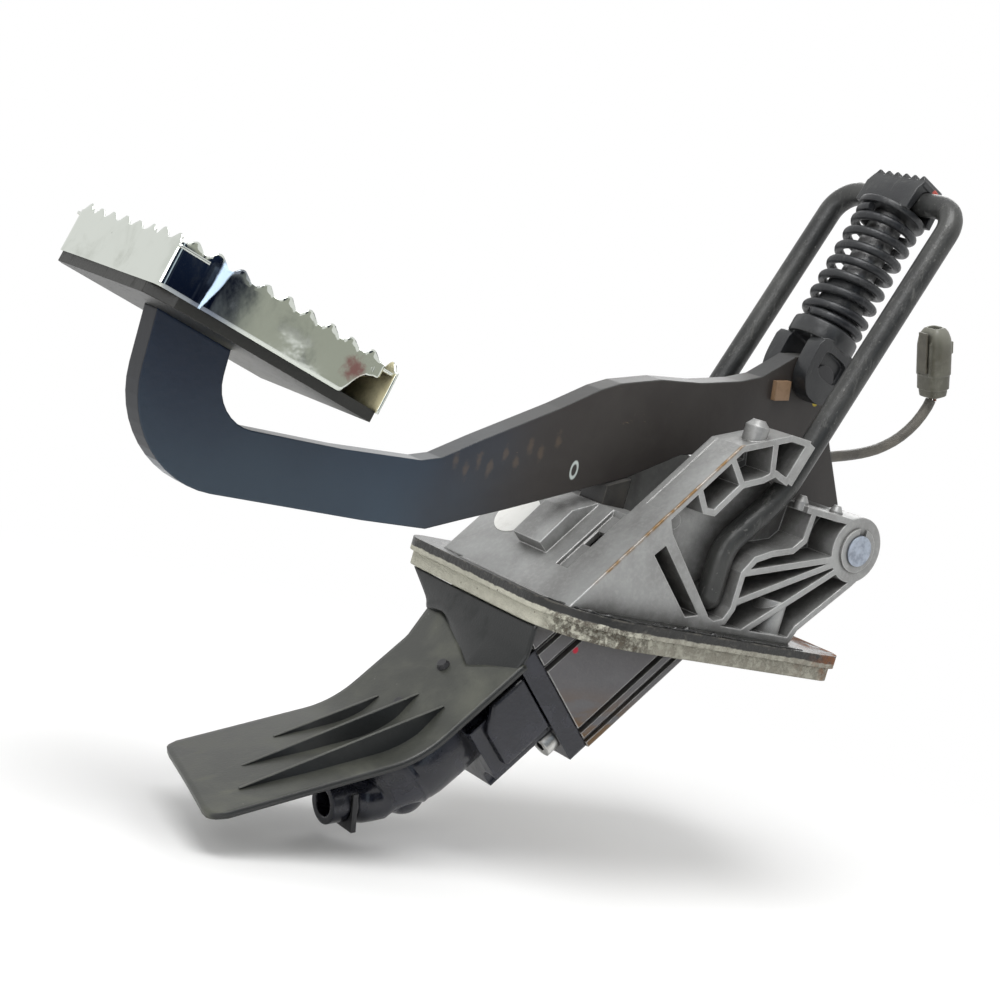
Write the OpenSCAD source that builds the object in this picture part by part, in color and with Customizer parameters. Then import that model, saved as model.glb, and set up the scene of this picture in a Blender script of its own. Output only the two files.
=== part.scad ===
/* [Mounting plate and gasket] */
// Length of the steel mounting plate, up and down the bulkhead
plate_len = 184; // [170:1:220]
// Width of the mounting plate across the vehicle
plate_w = 144; // [136:1:180]
// How far the plate reaches below the pattern centre
plate_low = 90; // [86:1:110]
// How far the plate reaches to the near side of the pedal plane
plate_near = 66; // [62:1:80]
// Thickness of the mounting plate
plate_t = 6.5; // [4:0.5:10]
// Thickness of the foam gasket under the plate
gasket_t = 7; // [3:0.5:12]
// Corner radius of the plate on its lower near corner
plate_r_big = 38; // [20:1:50]
// Corner radius of the other plate corners
plate_r = 14; // [6:1:30]
// Distance between the bolt rows up and down the bulkhead
bolt_len = 104; // [90:1:112]
// Distance between the bolt rows across the vehicle
bolt_w = 86; // [80:1:90]
// Tapping bore of the four mounting threads in the casting
bolt_tap_d = 8.5; // [5:0.5:10]
// Clearance hole for the mounting bolts in plate and gasket
bolt_hole_d = 11; // [9:0.5:13]

/* [Pedal box casting] */
// Width across the outer rims of the two cheeks
box_w = 104; // [92:1:120]
// Height of the ribs on the outside of each cheek
rib_h = 18; // [10:1:22]
// Thickness of the cheek webs
web_t = 4; // [3:0.5:6]
// Thickness of the ribs and of the rim
rib_t = 3.2; // [2:0.2:5]
// Thickness of the sloping end wall
wall_t = 5; // [3:0.5:8]
// Height of the top edge of the end wall above the mounting face
wall_top = 58; // [50:1:62]
// Slope of the end wall and of the cheek rim
wall_angle = 50; // [45:1:55]
// Width of the part that passes through the bulkhead
snout_w = 70; // [62:1:76]

/* [Pivot] */
// Height of the pivot above the mounting face
pivot_z = 67; // [60:1:75]
// Distance of the pivot above the pattern centre
pivot_x = 92; // [86:1:100]
// Diameter of the pivot pin
pin_d = 16; // [12:0.5:20]
// Running clearance on the radius between pin and bushes
run_gap = 0.05; // [0.02:0.01:0.1]
// Wall of the arm bushes
bush_t = 2; // [1:0.5:3]
// Outer diameter of the boss round the pivot on each cheek
boss_d = 34; // [28:1:40]

/* [Pedal arm] */
// Thickness of the pedal arm
arm_t = 12; // [8:0.5:14]
// Distance of the lower end of the arm from the pattern centre
arm_reach = 298; // [270:1:320]
// Width of the upright end of the arm, under the pad
arm_end_w = 37.5; // [30:0.5:45]
// Width of the level run of the arm
arm_run_w = 30; // [24:0.5:36]
// Height of the lower edge of the level run
arm_low_z = 27; // [22:1:32]
// Outer radius of the hook at the pad end
arm_bend_r = 46; // [38:1:52]
// Inner radius of the hook at the pad end
arm_inner_r = 20; // [12:1:28]
// Outer diameter of the hub of the arm
hub_d = 32; // [27:1:36]

/* [Pedal pad] */
// Length of the pad cover along the arm
pad_len = 118; // [90:1:130]
// Width of the pad cover
pad_w = 98; // [80:1:120]
// Depth of the skirt of the pad cover
pad_skirt = 19; // [12:1:24]
// Sheet thickness of the pad cover
sheet_t = 1.4; // [1:0.1:2.5]
// Tilt of the pad against the mounting face
pad_tilt = 14.6; // [8:0.2:20]
// Height of the grip teeth along the edges of the pad cover
tooth_h = 4.5; // [3:0.5:6]
// Pitch of the grip teeth
tooth_pitch = 10.6; // [8:0.2:14]

/* [Assist spring] */
// Height of the cross bar of the bail above the mounting face
bail_z = 246; // [235:1:255]
// Distance of the cross bar from the pattern centre
bail_x = 103.5; // [98:0.5:110]
// Distance between the leg centres of the bail
bail_w = 84; // [80:1:88]
// Rod diameter of the bail
bail_d = 12.5; // [9:0.5:13]
// Distance from the pattern centre at which the bail legs bend
bend_x = 38.04775; // [30:0.1:42]
// Height at which the bail legs bend
bend_z = 84; // [78:1:90]
// Outer diameter of the assist spring
spring_d = 36; // [30:1:40]
// Wire diameter of the assist spring
wire_d = 4.8; // [3:0.2:6]
// Turns of the assist spring
spring_turns = 8; // [6:1:9]
// Height of the nose pin in the arm above the mounting face
nose_z = 145; // [142:1:148]
// Distance of the nose pin from the pattern centre
nose_x = 71; // [68:1:74]
// Diameter of the nose pin
nose_pin_d = 10; // [8:0.5:12]

/* [Master cylinder] */
// Angle of the cylinder axis to the mounting face
cyl_angle = 48.5; // [47:0.5:50]
// Where the cylinder axis meets the mounting face, below the pattern centre
cyl_x = 35; // [33:0.5:37]
// Outer diameter of the cylinder barrel
barrel_d = 40; // [34:1:42]
// Bore of the cylinder
bore_d = 25; // [20:0.5:28]
// Depth of the cylinder flange face below the pattern centre, along the axis
flange_u = 62; // [60:0.5:64]
// Diameter of the pushrod
rod_d = 9; // [7:0.5:11]
// Outer diameter of the hose port
port_d = 20; // [16:1:22]
// Bore of the hose port
port_bore = 13; // [8:0.5:15]
// Thickness of the plastic splash shield
shield_t = 3; // [2:0.5:4]
// Width of the splash shield
shield_w = 80; // [70:1:90]

/* [Switch lead] */
// Diameter of the switch lead
lead_d = 6; // [4:0.5:7]
// Diameter of the switch barrel
switch_d = 14; // [10:0.5:16]

/* [Hidden] */
$fn = 48;

// Plane where the casting stands on the plate, and the half widths across the box
top_z = gasket_t + plate_t;
half_w = box_w / 2;
web_y = half_w - rib_h;
inner_y = web_y - web_t;

// Shared clearances
fit = 0.3;
side_gap = 0.5;

// A point at distance d from p in the direction of angle a, in the side view
function polar(p, d, a) = [p[0] + d * cos(a), p[1] + d * sin(a)];
// Points along an arc in the side view
function arc(c, r, a0, a1, n) = [for (i = [0 : n]) polar(c, r, a0 + (a1 - a0) * i / n)];
// Length and angle of the line from p to q
function dist(p, q) = norm([q[0] - p[0], q[1] - p[1]]);
function aim(p, q) = atan2(q[1] - p[1], q[0] - p[0]);

// Gives a side view its width across the box, from y0 to y1
module across(y0, y1) {
    translate([0, y1, 0]) rotate([90, 0, 0]) linear_extrude(y1 - y0) children();
}

// A round bar across the box, at p in the side view
module crossbar(p, d, y0, y1) {
    translate([p[0], y1, p[1]]) rotate([90, 0, 0]) cylinder(h = y1 - y0, d = d);
}

// How far a rib's edge lies from its line at point i, for a rib of half width 1, with mitred corners
function unit(v) = v / norm(v);
function left_of(v) = [-v[1], v[0]];
function mitre(pts, i) =
    let (
        j = max(i, 1),
        k = min(i, len(pts) - 2),
        a = left_of(unit(pts[j] - pts[j - 1])),
        b = left_of(unit(pts[k + 1] - pts[k])),
        n = unit(a + b)
    ) n / (n * a);

// A rib of width w in the side view, through a list of points
module rib2d(pts, w) {
    last = len(pts) - 1;
    polygon(concat(
        [for (i = [0 : last]) pts[i] + w / 2 * mitre(pts, i)],
        [for (i = [last : -1 : 0]) pts[i] - w / 2 * mitre(pts, i)]
    ));
}

// Places things on an axis in the side view: z runs from p at angle a, y stays across the box
module along(p, a) {
    translate([p[0], 0, p[1]]) rotate([0, 90 - a, 0]) children();
}

// Mirrors what it holds to the far cheek as well
module both_sides() {
    children();
    mirror([0, 1, 0]) children();
}

// Main points in the side view
pivot = [pivot_x, pivot_z];
nose = [nose_x, nose_z];
bail_top = [bail_x, bail_z];
wall_foot = [-82, top_z];
wall_run = (wall_top - top_z) / tan(wall_angle);
wall_head = [wall_foot[0] + wall_run, wall_top];

// The cylinder axis runs up into the box at cyl_angle
cyl_foot = [-cyl_x, 0];
cyl_s0 = cyl_x * cos(cyl_angle) - flange_u;
lever = abs((pivot_x + cyl_x) * sin(cyl_angle) - pivot_z * cos(cyl_angle));
pedal_range = 28;
lever_foot = polar(pivot, lever, cyl_angle + 90);
clevis = polar(lever_foot, -lever * tan(pedal_range / 2), cyl_angle);
clevis_s = dist(cyl_foot, clevis);

module plate_outline(grow) {
    x0 = -plate_low - grow;
    x1 = plate_len - plate_low + grow;
    y0 = -plate_near - grow;
    y1 = plate_w - plate_near + grow;
    hull() {
        translate([x0 + plate_r_big, y0 + plate_r_big]) circle(r = plate_r_big);
        translate([x1 - plate_r, y0 + plate_r]) circle(r = plate_r);
        translate([x1 - plate_r, y1 - plate_r]) circle(r = plate_r);
        translate([x0 + plate_r, y1 - plate_r]) circle(r = plate_r);
    }
}

snout_x0 = -84;
snout_x1 = 31;
mouth_gap = 1;

module mouth(z0, z1) {
    translate([snout_x0 - mouth_gap, -snout_w / 2 - mouth_gap, z0 - 1])
        cube([snout_x1 - snout_x0 + 2 * mouth_gap, snout_w + 2 * mouth_gap, z1 - z0 + 2]);
}

module at_bolts() {
    for (x = [-1, 1], y = [-1, 1]) translate([x * bolt_len / 2, y * bolt_w / 2, 0]) children();
}

// The mounting plate is screwed to the casting from below
plate_screw_at = [[44, 0], [56, 22], [56, -22]];
plate_screw_d = 6;
plate_head_d = 11;
plate_head_h = 3.2;
// How far the plate screws reach into the casting
screw_grip = 6;

module mount_plate() {
    color("#3a3b3a") difference() {
        translate([0, 0, gasket_t]) linear_extrude(plate_t) plate_outline(0);
        mouth(gasket_t, top_z);
        at_bolts() translate([0, 0, -1]) cylinder(h = top_z + 2, d = bolt_hole_d);
        for (p = plate_screw_at) translate([p[0], p[1], gasket_t]) {
            cylinder(h = plate_t + 1, d = plate_screw_d + 2 * run_gap);
            translate([0, 0, -0.01])
                cylinder(h = plate_head_h, d1 = plate_head_d + 0.4, d2 = plate_screw_d + 0.4);
        }
    }
}

module flange_gasket() {
    color("#b9b4a3") difference() {
        linear_extrude(gasket_t) plate_outline(-1.5);
        mouth(0, gasket_t);
        at_bolts() translate([0, 0, -1]) cylinder(h = gasket_t + 2, d = bolt_hole_d);
        for (p = plate_screw_at) translate([p[0], p[1], -1])
            cylinder(h = gasket_t + 2, d = plate_head_d + 3);
    }
}

module plate_screws() {
    color("#8c8f90") for (p = plate_screw_at) translate([p[0], p[1], gasket_t]) difference() {
        union() {
            cylinder(h = plate_head_h, d1 = plate_head_d, d2 = plate_screw_d);
            cylinder(h = plate_t + screw_grip, d = plate_screw_d);
        }
        translate([0, 0, -1]) cylinder(h = 3, d = 4, $fn = 6);
    }
}

// Outline of a cheek: rim up the slope, over the top, down to the pivot boss and back to the foot
rim_peak = [wall_foot[0] + (104 - top_z) / tan(wall_angle), 104];
rim_crown = [25, 115];
rim_nose = [38, 113];
branch_end = [31, 92];
heel_foot = [64, top_z];
heel_knee = [67, 22];
flange_in = [50, 83];
flange_out = [pivot_x - 4, pivot_z + boss_d / 2 - 2];
floor_t = 9;

// Where the bail leg turns into its channel and hooks through the web
leg_turn = [bend_x, bend_z];
bail_lean = atan((bail_x - bend_x) / (bail_z - bend_z));
leg_knee = [11, 54];
hook_at = [11, 28];

module cheek_area() {
    polygon([
        wall_foot, rim_peak, rim_crown, rim_nose, branch_end, flange_in, flange_out,
        pivot, [95, 48], heel_knee, heel_foot
    ]);
    translate(pivot) circle(d = boss_d);
}

module rim_ribs() {
    into = [sin(wall_angle), -cos(wall_angle)];
    rib2d([
        polar(wall_foot, 4, wall_angle) + (rib_t / 2 + 0.2) * into, rim_peak + (rib_t / 2 + 0.2) * into,
        rim_crown - [0, 1.5], rim_nose
    ], rib_t);
    rib2d([rim_nose + [1, 0], branch_end], 6);
    // Pocket under the rim and the ribs between the two windows
    rib2d([[-24, 79], [-17, 70], [-11, 70], [2, 86], [14, 90.5], [21, 95], branch_end], rib_t);
    rib2d([[-10, 98], [1.5, 86]], rib_t);
    rib2d([[15, 111], [19, 94]], rib_t);
    // Channel of the bail leg
    rib2d([[-36, 54], [3, 19], [9, 16.8], [16, 19], [19.4, 26], [19.4, 44], [25, 52], [35, 56.5],
        [48, 60], [54, 66], [55, 81]], rib_t);
    // Fan of ribs towards the pivot
    rib2d([[19.4, 44], pivot + [-14, -7]], rib_t);
    rib2d([[19.4, 29], pivot + [-12, -9]], rib_t);
    rib2d([[30, 15.5], pivot + [-9, -12]], rib_t);
    rib2d([heel_foot + [-1.6, 0.5], heel_knee + [-1, 0], [95, 49.5], pivot + [9, -11]], rib_t);
    // Flange on top, towards the pivot
    rib2d([flange_in - [0, 1.6], flange_out + [3, -1.9]], rib_t);
}

// The plain full thickness corner under the rim, with its deep slot
module corner_block() {
    difference() {
        polygon([wall_foot, polar(wall_foot, 68, wall_angle), [-33, 56], [4, 21], [10, top_z]]);
        polygon([[-40.5, 44.5], [-35, 50], [-2, 20], [-10, 18]]);
    }
}

module windows2d() {
    polygon([[-4, 102], [12, 107], [15, 97], [3, 91]]);
    polygon([[19, 108], [28, 110], [25, 99]]);
}

module cheek() {
    difference() {
        union() {
            across(-web_y, -inner_y) difference() {
                cheek_area();
                windows2d();
            }
            across(-half_w, -web_y + 0.5) {
                rim_ribs();
                corner_block();
            }
            // Foot along the plate, with the thread boss of the upper mounting bolt
            translate([0, -half_w, top_z]) cube([heel_foot[0], half_w - inner_y, rib_t]);
            translate([bolt_len / 2, -bolt_w / 2, top_z]) cylinder(h = 20, d = 17);
            crossbar(pivot, boss_d, -half_w, -inner_y);
            // Dowel on the web and cast bumps on the rim
            crossbar([-26, 61], 8, -web_y - 9, -web_y + 0.5);
            for (b = [[7, 107, 12, 8], [51, 80, 7, 4.5], [77, 78.5, 7, 5]])
                translate([b[0], -half_w + 7, b[1]]) {
                    cylinder(h = b[3], d = b[2]);
                    translate([0, 0, b[3]]) cylinder(h = 3, d1 = b[2], d2 = b[2] / 2);
                }
        }
        // Bore of the pivot pin, and the hole that takes the hook of the bail
        crossbar(pivot, pin_d + 2 * run_gap, -half_w - 1, 0);
        crossbar(hook_at, bail_d + 2 * fit, -web_y - 0.6, 0);
    }
}

// The sloping wall between the cheeks that faces the lower end of the arm
wall_depth = wall_t / sin(wall_angle);
shelf_len = 17;

module end_wall() {
    difference() {
        across(-inner_y - 1, inner_y + 1)
            polygon([wall_foot, wall_head, wall_head + [wall_depth, 0], wall_foot + [wall_depth, 0]]);
        // Recess beside the raised panel, with its window
        translate([wall_foot[0], -inner_y + 0.5, top_z]) rotate([0, 90 - wall_angle, 0]) {
            translate([-1, 0, 18]) cube([3.2, 9, 45]);
            translate([-1, 0.5, 35]) cube([wall_t + 3, 7.5, 10]);
        }
    }
    // Wedge in the middle of the wall
    across(-9, 13) polygon([[-66, 28], [-74, 34], [-60, 52], [-46, wall_top], [-42, wall_top - 4]]);
    // Shelf behind the top edge, which carries the stop bumper
    across(-inner_y - 1, inner_y + 1)
        translate(wall_head + [0, -wall_t]) square([shelf_len, wall_t]);
}

// The part that passes through the bulkhead; u runs down the cylinder axis, v square to it
dir_u = [-cos(cyl_angle), -sin(cyl_angle)];
dir_v = [sin(cyl_angle), -cos(cyl_angle)];
flange_v1 = 14;
axis_v = -cyl_x * sin(cyl_angle);
function at_uv(u, v) = u * dir_u + v * dir_v;

module snout() {
    hw = snout_w / 2;
    low_right = at_uv(flange_u, flange_v1);
    left_z = (flange_u - snout_x0 * dir_u[0]) / dir_u[1];
    top = top_z + 3;
    right_x = min(snout_x1, low_right[0] + (top - low_right[1]) / tan(cyl_angle));
    right_z = low_right[1] + (right_x - low_right[0]) * tan(cyl_angle);
    difference() {
        across(-hw, hw) polygon([
            [snout_x0, left_z], low_right, [right_x, right_z], [right_x, top],
            wall_foot + [6, top - top_z], wall_foot + [1, 0], [snout_x0, top_z]
        ]);
        // Long grooves between the cast ribs on both flanks
        for (g = [[-52, 4, 3.5], [-41, 4, 4], [1, 3.5, 4], [8, 3, 3]], side = [-1, 1])
            translate([0, side * hw, 0]) along([0, 0], cyl_angle)
                translate([g[0], -g[2], -flange_u - 20]) cube([g[1], 2 * g[2], 150]);
        // Core pocket, open to the inside of the box
        translate([4, -24, 8]) cube([12, 48, 30]);
    }
}

// Collar round the upper barrel
collar_top = 26;
barrel_gap = 0.4;

// Screws of the cylinder, placed round its axis
cyl_screw_at = [[27, -25], [-17, -25], [27, 25], [-17, 25]];
cyl_screw_d = 8;
cyl_screw_grip = 14;

// Ear on the far cheek that carries the switch
switch_y = 21;
switch_angle = -14;
striker = [60, 105];
striker_d = 8;
function turned(p, a) = [
    pivot[0] + (p[0] - pivot[0]) * cos(a) + (p[1] - pivot[1]) * sin(a),
    pivot[1] - (p[0] - pivot[0]) * sin(a) + (p[1] - pivot[1]) * cos(a)
];
switch_tip = polar(turned(striker, pedal_range), striker_d / 2 + fit, switch_angle);
ear_s = 13;
ear_t = 5;

module switch_ear() {
    difference() {
        union() {
            across(inner_y, inner_y + 6) polygon([
                pivot + [-8, 8], pivot + [14, 8], polar(switch_tip, ear_s + ear_t, switch_angle) + [-2, -12],
                polar(switch_tip, ear_s + ear_t, switch_angle) + [3, 11],
                polar(switch_tip, ear_s, switch_angle) + [3, 12],
                polar(switch_tip, ear_s, switch_angle) + [-3, -12]
            ]);
            along(switch_tip, switch_angle) translate([-12, switch_y - 10, ear_s])
                cube([25, inner_y - switch_y + 11, ear_t]);
        }
        along(switch_tip, switch_angle) translate([0, switch_y, 0])
            cylinder(h = 60, d = switch_d + 2 * fit);
    }
}

module housing() {
    color("#8f9190") difference() {
        union() {
            both_sides() cheek();
            end_wall();
            snout();
            switch_ear();
            intersection() {
                along(cyl_foot, cyl_angle) translate([0, 0, -20])
                    cylinder(h = 20 + collar_top, d = barrel_d + 12);
                translate([-80, -inner_y - 1, 2]) cube([110, 2 * inner_y + 2, 80]);
            }
            // Floor between the cheeks at the pivot end
            translate([snout_x1 - 9, -inner_y - 1, top_z])
                cube([heel_knee[0] - snout_x1 + 8, 2 * inner_y + 2, floor_t]);
        }
        along(cyl_foot, cyl_angle) {
            translate([0, 0, -140]) cylinder(h = 220, d = barrel_d + 2 * barrel_gap);
            // Room for the foot of the boot
            translate([0, 0, collar_top]) cylinder(h = 60, d = barrel_d + 6);
        }
        for (x = [snout_x1 + 0.01, snout_x0 - 30]) translate([x, -60, 0]) cube([30 - 0.02, 120, top_z]);
        at_bolts() translate([0, 0, top_z - 1]) cylinder(h = 19, d = bolt_tap_d);
        for (p = plate_screw_at)
            translate([p[0], p[1], top_z - 1]) cylinder(h = screw_grip + 2, d = plate_screw_d);
        along(cyl_foot, cyl_angle) for (p = cyl_screw_at)
            translate([p[0], p[1], cyl_s0 - 1]) cylinder(h = cyl_screw_grip + 2, d = cyl_screw_d);
    }
}

module wall_label() {
    color("#e9e8e2") translate([wall_foot[0], 0, top_z]) rotate([0, 90 - wall_angle, 0])
        translate([-0.35, 31, 34.5]) rotate([0, 90, 0]) cylinder(h = 0.35, d = 25);
}

// Pad frame: t runs along the pad from its lower left edge, n points out of its face
pad_at = [-323, 109];
base_drop = 4.5;
base_t = 5;
function pad_pt(t, n) = [
    pad_at[0] + t * cos(pad_tilt) + n * sin(pad_tilt),
    pad_at[1] - t * sin(pad_tilt) + n * cos(pad_tilt)
];
// Height of the underside of the pad plate at a given x
function under_pad(x) =
    pad_at[1] - (x - pad_at[0] + base_drop * sin(pad_tilt)) * tan(pad_tilt) - base_drop * cos(pad_tilt);

arm_half = arm_t / 2;
hub_half = inner_y - side_gap;
bush_od = pin_d + 2 * run_gap + 2 * bush_t;
ear_r = 12;
nose_r = 10;
clevis_pin_d = 8;
stop_low = [-99, arm_low_z + 18];
stop_high = [-30, 73];

module arm_side() {
    bend = [-arm_reach + arm_bend_r, arm_low_z + arm_bend_r];
    inner = [-arm_reach + arm_end_w + arm_inner_r, arm_low_z + arm_run_w + arm_inner_r];
    run_top = arm_low_z + arm_run_w;
    polygon(concat(
        [[-arm_reach, under_pad(-arm_reach)]],
        arc(bend, arm_bend_r, 180, 270, 12),
        [[-174, arm_low_z + 1], [-139, arm_low_z + 2.5], [-120, arm_low_z + 10], stop_low, stop_high,
            [0, 90], [16, 93], polar(clevis, ear_r, 185), clevis, polar(clevis, ear_r, 290),
            pivot + [-10, -12], pivot, pivot + [14, 4],
            pivot + [27, 17], [98, 116], nose + [8, 6.5], nose + [-2, 10], [57, 152.5], [38, 138],
            [25, 133], [0, 127], [-26, 123.4], [-50, 116.6], [-61, 111.4], [-82, 98], [-122, 74.7],
            [-141, run_top + 6], [-151, run_top + 3], [-194, run_top + 0.5]],
        arc(inner, arm_inner_r, 270, 180, 8),
        [[-arm_reach + arm_end_w, under_pad(-arm_reach + arm_end_w)]]
    ));
    translate(clevis) circle(r = ear_r);
    translate(nose) circle(r = nose_r);
}

module pedal_arm() {
    color("#15181c") difference() {
        union() {
            across(-arm_half, arm_half) arm_side();
            crossbar(pivot, hub_d, -hub_half, hub_half);
            // Striker of the switch, on the far side
            crossbar(striker, striker_d, arm_half - 0.5, switch_y + 5);
        }
        crossbar(pivot, bush_od, -hub_half - 1, hub_half + 1);
        crossbar(clevis, clevis_pin_d, -10, 10);
        crossbar(nose, nose_pin_d, -10, 10);
    }
}

module arm_bushes() {
    color("#b08a4a") for (side = [-1, 1]) difference() {
        crossbar(pivot, bush_od, min(side * hub_half, side * 8), max(side * hub_half, side * 8));
        crossbar(pivot, pin_d + 2 * run_gap, -hub_half - 1, hub_half + 1);
    }
}

// Places things in the pad frame: x along the pad, y across it, z out of its face
module on_pad() {
    translate([pad_at[0], 0, pad_at[1]]) rotate([0, pad_tilt, 0]) children();
}

pad_in = sheet_t + fit;
pad_chamfer = 12;

module pad_plan(inset) {
    hw = pad_w / 2;
    polygon([
        [inset, -hw + pad_chamfer], [pad_chamfer, -hw + inset], [pad_len - inset, -hw + inset],
        [pad_len - inset, hw - inset], [inset + 4, hw - inset], [inset, hw - inset - 4]
    ]);
}

module pad_plate() {
    color("#2c2d26") on_pad() {
        translate([0, 0, -base_drop]) linear_extrude(base_t) pad_plan(pad_in);
        // Two upstands that carry the cover
        for (y = [-28, 24]) translate([8, y, 0]) cube([pad_len - 22, 4, pad_skirt - sheet_t]);
    }
}

// One run of grip teeth, of length len
module teeth(len) {
    n = floor(len / tooth_pitch);
    start = (len - n * tooth_pitch) / 2;
    rotate([90, 0, 0]) linear_extrude(sheet_t) polygon(concat(
        [[start, -1]],
        [for (i = [0 : n - 1]) each [
            [start + (i + 0.12) * tooth_pitch, 0],
            [start + (i + 0.5) * tooth_pitch, tooth_h],
            [start + (i + 0.88) * tooth_pitch, 0]
        ]],
        [[start + n * tooth_pitch, -1]]
    ));
}

module pad_cover() {
    hw = pad_w / 2;
    color("#c9ccd0") on_pad() {
        difference() {
            linear_extrude(pad_skirt) pad_plan(0);
            translate([0, 0, -1]) linear_extrude(pad_skirt - sheet_t + 1) pad_plan(sheet_t);
            // The end skirt next to the arm hangs free at its corners
            for (y = [-hw - 1, hw - 6]) translate([pad_len - 3, y, -1]) cube([4, 7, pad_skirt - 3]);
        }
        translate([pad_chamfer, -hw + sheet_t, pad_skirt]) teeth(pad_len - pad_chamfer);
        translate([4, hw, pad_skirt]) teeth(pad_len - 4);
        translate([0, -hw + pad_chamfer, pad_skirt]) rotate(90) teeth(pad_w - pad_chamfer - 4);
        translate([pad_len - sheet_t, -hw, pad_skirt]) rotate(90) teeth(pad_w);
    }
}

pin_end = half_w + 2.4;

module pivot_pin() {
    color("#9a9da0") difference() {
        union() {
            crossbar(pivot, pin_d, -pin_end, half_w + 1);
            crossbar(pivot, pin_d + 7, half_w, half_w + 2.5);
        }
        difference() {
            crossbar(pivot, pin_d + 2, -half_w - 1.4, -half_w);
            crossbar(pivot, pin_d - 2, -half_w - 2, 0);
        }
    }
}

module pin_clip() {
    color("#4a4c4e") difference() {
        crossbar(pivot, pin_d + 7, -half_w - 1.3, -half_w - 0.1);
        crossbar(pivot, pin_d - 2, -half_w - 2, 0);
        across(-half_w - 2, 0) translate(pivot + [-2.5, 0]) square([5, 20]);
    }
}

bail_bend = 14;
bend_steps = 5;

// A round rod through a list of points in space
module face_along(v) {
    rotate([0, acos(v[2] / norm(v)), atan2(v[1], v[0])]) children();
}

module rod_through(pts, d) {
    for (i = [0 : len(pts) - 2]) {
        v = pts[i + 1] - pts[i];
        translate(pts[i]) face_along(v) cylinder(h = norm(v), d = d);
        // Bending upsets the rod a little
        if (i > 0) translate(pts[i]) face_along(unit(v) + unit(pts[i] - pts[i - 1])) sphere(d = d + 0.2);
    }
}

// One half of the bail: from the middle of the cross bar, round the bend, down the leg and into the web
module assist_bail() {
    leg_y = bail_w / 2;
    down = [-sin(bail_lean), 0, -cos(bail_lean)];
    top = [bail_x, 0, bail_z];
    round = [for (i = [0 : bend_steps]) let (a = 90 * i / bend_steps)
        top + [0, leg_y - bail_bend + bail_bend * sin(a), 0] + bail_bend * (1 - cos(a)) * down];
    leg = [for (p = [leg_turn, leg_knee, hook_at]) [p[0], leg_y, p[1]]];
    end = [hook_at[0], inner_y - 2, hook_at[1]];
    half = concat(round, leg, [end]);
    last = len(half) - 1;
    far_half = [for (i = [last : -1 : 0]) half[i]];
    near_half = [for (p = half) [p[0], -p[1], p[2]]];
    color("#1d1f21") rod_through(concat(far_half, near_half), bail_d);
}

// The spring unit lies on the line from the cross bar to the nose pin
spring_aim = aim(bail_top, nose);
spring_span = dist(bail_top, nose);
seat_s = 11;
crown_low = 17;
crown_t = 10;
crown_s = spring_span - crown_low - crown_t;
rod_reach = 80;
guide_d = 18;
sleeve_id = guide_d + 3.6;
sleeve_od = sleeve_id + 3.2;

module on_spring() {
    along(bail_top, spring_aim) children();
}

module assist_spring() {
    steps = 14;
    sides = 6;
    coil_r = (spring_d - wire_d) / 2;
    z0 = seat_s + wire_d / 2;
    z1 = crown_s - wire_d / 2;
    open_turns = spring_turns - 2;
    pitch = (z1 - z0 - 2 * wire_d) / open_turns;
    function rise(t) = t < 1 ? t * wire_d
        : t > spring_turns - 1 ? wire_d + open_turns * pitch + (t - spring_turns + 1) * wire_d
        : wire_d + (t - 1) * pitch;
    count = spring_turns * steps;
    pts = [for (i = [0 : count], k = [0 : sides - 1])
        let (a = i * 360 / steps, b = k * 360 / sides, r = coil_r + wire_d / 2 * cos(b))
        [r * cos(a), r * sin(a), z0 + rise(i / steps) + wire_d / 2 * sin(b)]];
    skin = [for (i = [0 : count - 1], k = [0 : sides - 1])
        let (p = i * sides + k, q = i * sides + (k + 1) % sides)
        each [[p, p + sides, q + sides], [p, q + sides, q]]];
    caps = [[for (k = [0 : sides - 1]) k], [for (k = [sides - 1 : -1 : 0]) count * sides + k]];
    color("#2a2c2f") on_spring() polyhedron(points = pts, faces = concat(skin, caps), convexity = 10);
}

module spring_seat() {
    color("#3b3c3d") on_spring() difference() {
        union() {
            translate([0, 0, seat_s - 3]) cylinder(h = 3, d = spring_d + 1);
            translate([-9, -13, 0]) cube([18, 26, seat_s - 1]);
            rotate([90, 0, 0]) translate([0, 0, -13]) cylinder(h = 26, d = 21);
            // Serrated ridge on top
            for (x = [-6, -2, 2, 6]) translate([x - 1, -13, -12.5]) cube([2, 26, 6]);
        }
        rotate([90, 0, 0]) translate([0, 0, -14]) cylinder(h = 28, d = bail_d + 2 * run_gap);
    }
}

module guide_rod() {
    color("#55585b") on_spring() {
        translate([0, 0, seat_s]) cylinder(h = rod_reach - seat_s - 2, d = guide_d);
        translate([0, 0, rod_reach - 2]) cylinder(h = 2, d1 = guide_d, d2 = guide_d - 4);
    }
}

module spring_guide() {
    fork_y = arm_half + side_gap;
    color("#303234") on_spring() difference() {
        union() {
            translate([0, 0, crown_s]) cylinder(h = crown_t, d = spring_d);
            translate([0, 0, crown_s - 28]) cylinder(h = 30, d = sleeve_od);
            for (side = [-1, 1]) translate([0, side * (fork_y + 2.5) + 2.5, 0]) rotate([90, 0, 0])
                linear_extrude(5) polygon([
                    [-13, crown_s + 4], [13, crown_s + 4], [12, spring_span + 2], [5, spring_span + 13],
                    [-5, spring_span + 13], [-12, spring_span + 2]
                ]);
        }
        translate([0, 0, crown_s - 30]) cylinder(h = 60, d = sleeve_id);
        translate([0, 0, spring_span]) rotate([90, 0, 0]) translate([0, 0, -20])
            cylinder(h = 40, d = nose_pin_d + 2 * run_gap);
    }
}

module nose_pin() {
    color("#8a8d90") {
        crossbar(nose, nose_pin_d, -14, 14);
        crossbar(nose, nose_pin_d + 5, -15.5, -arm_half - side_gap - 5.4);
    }
}

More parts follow.
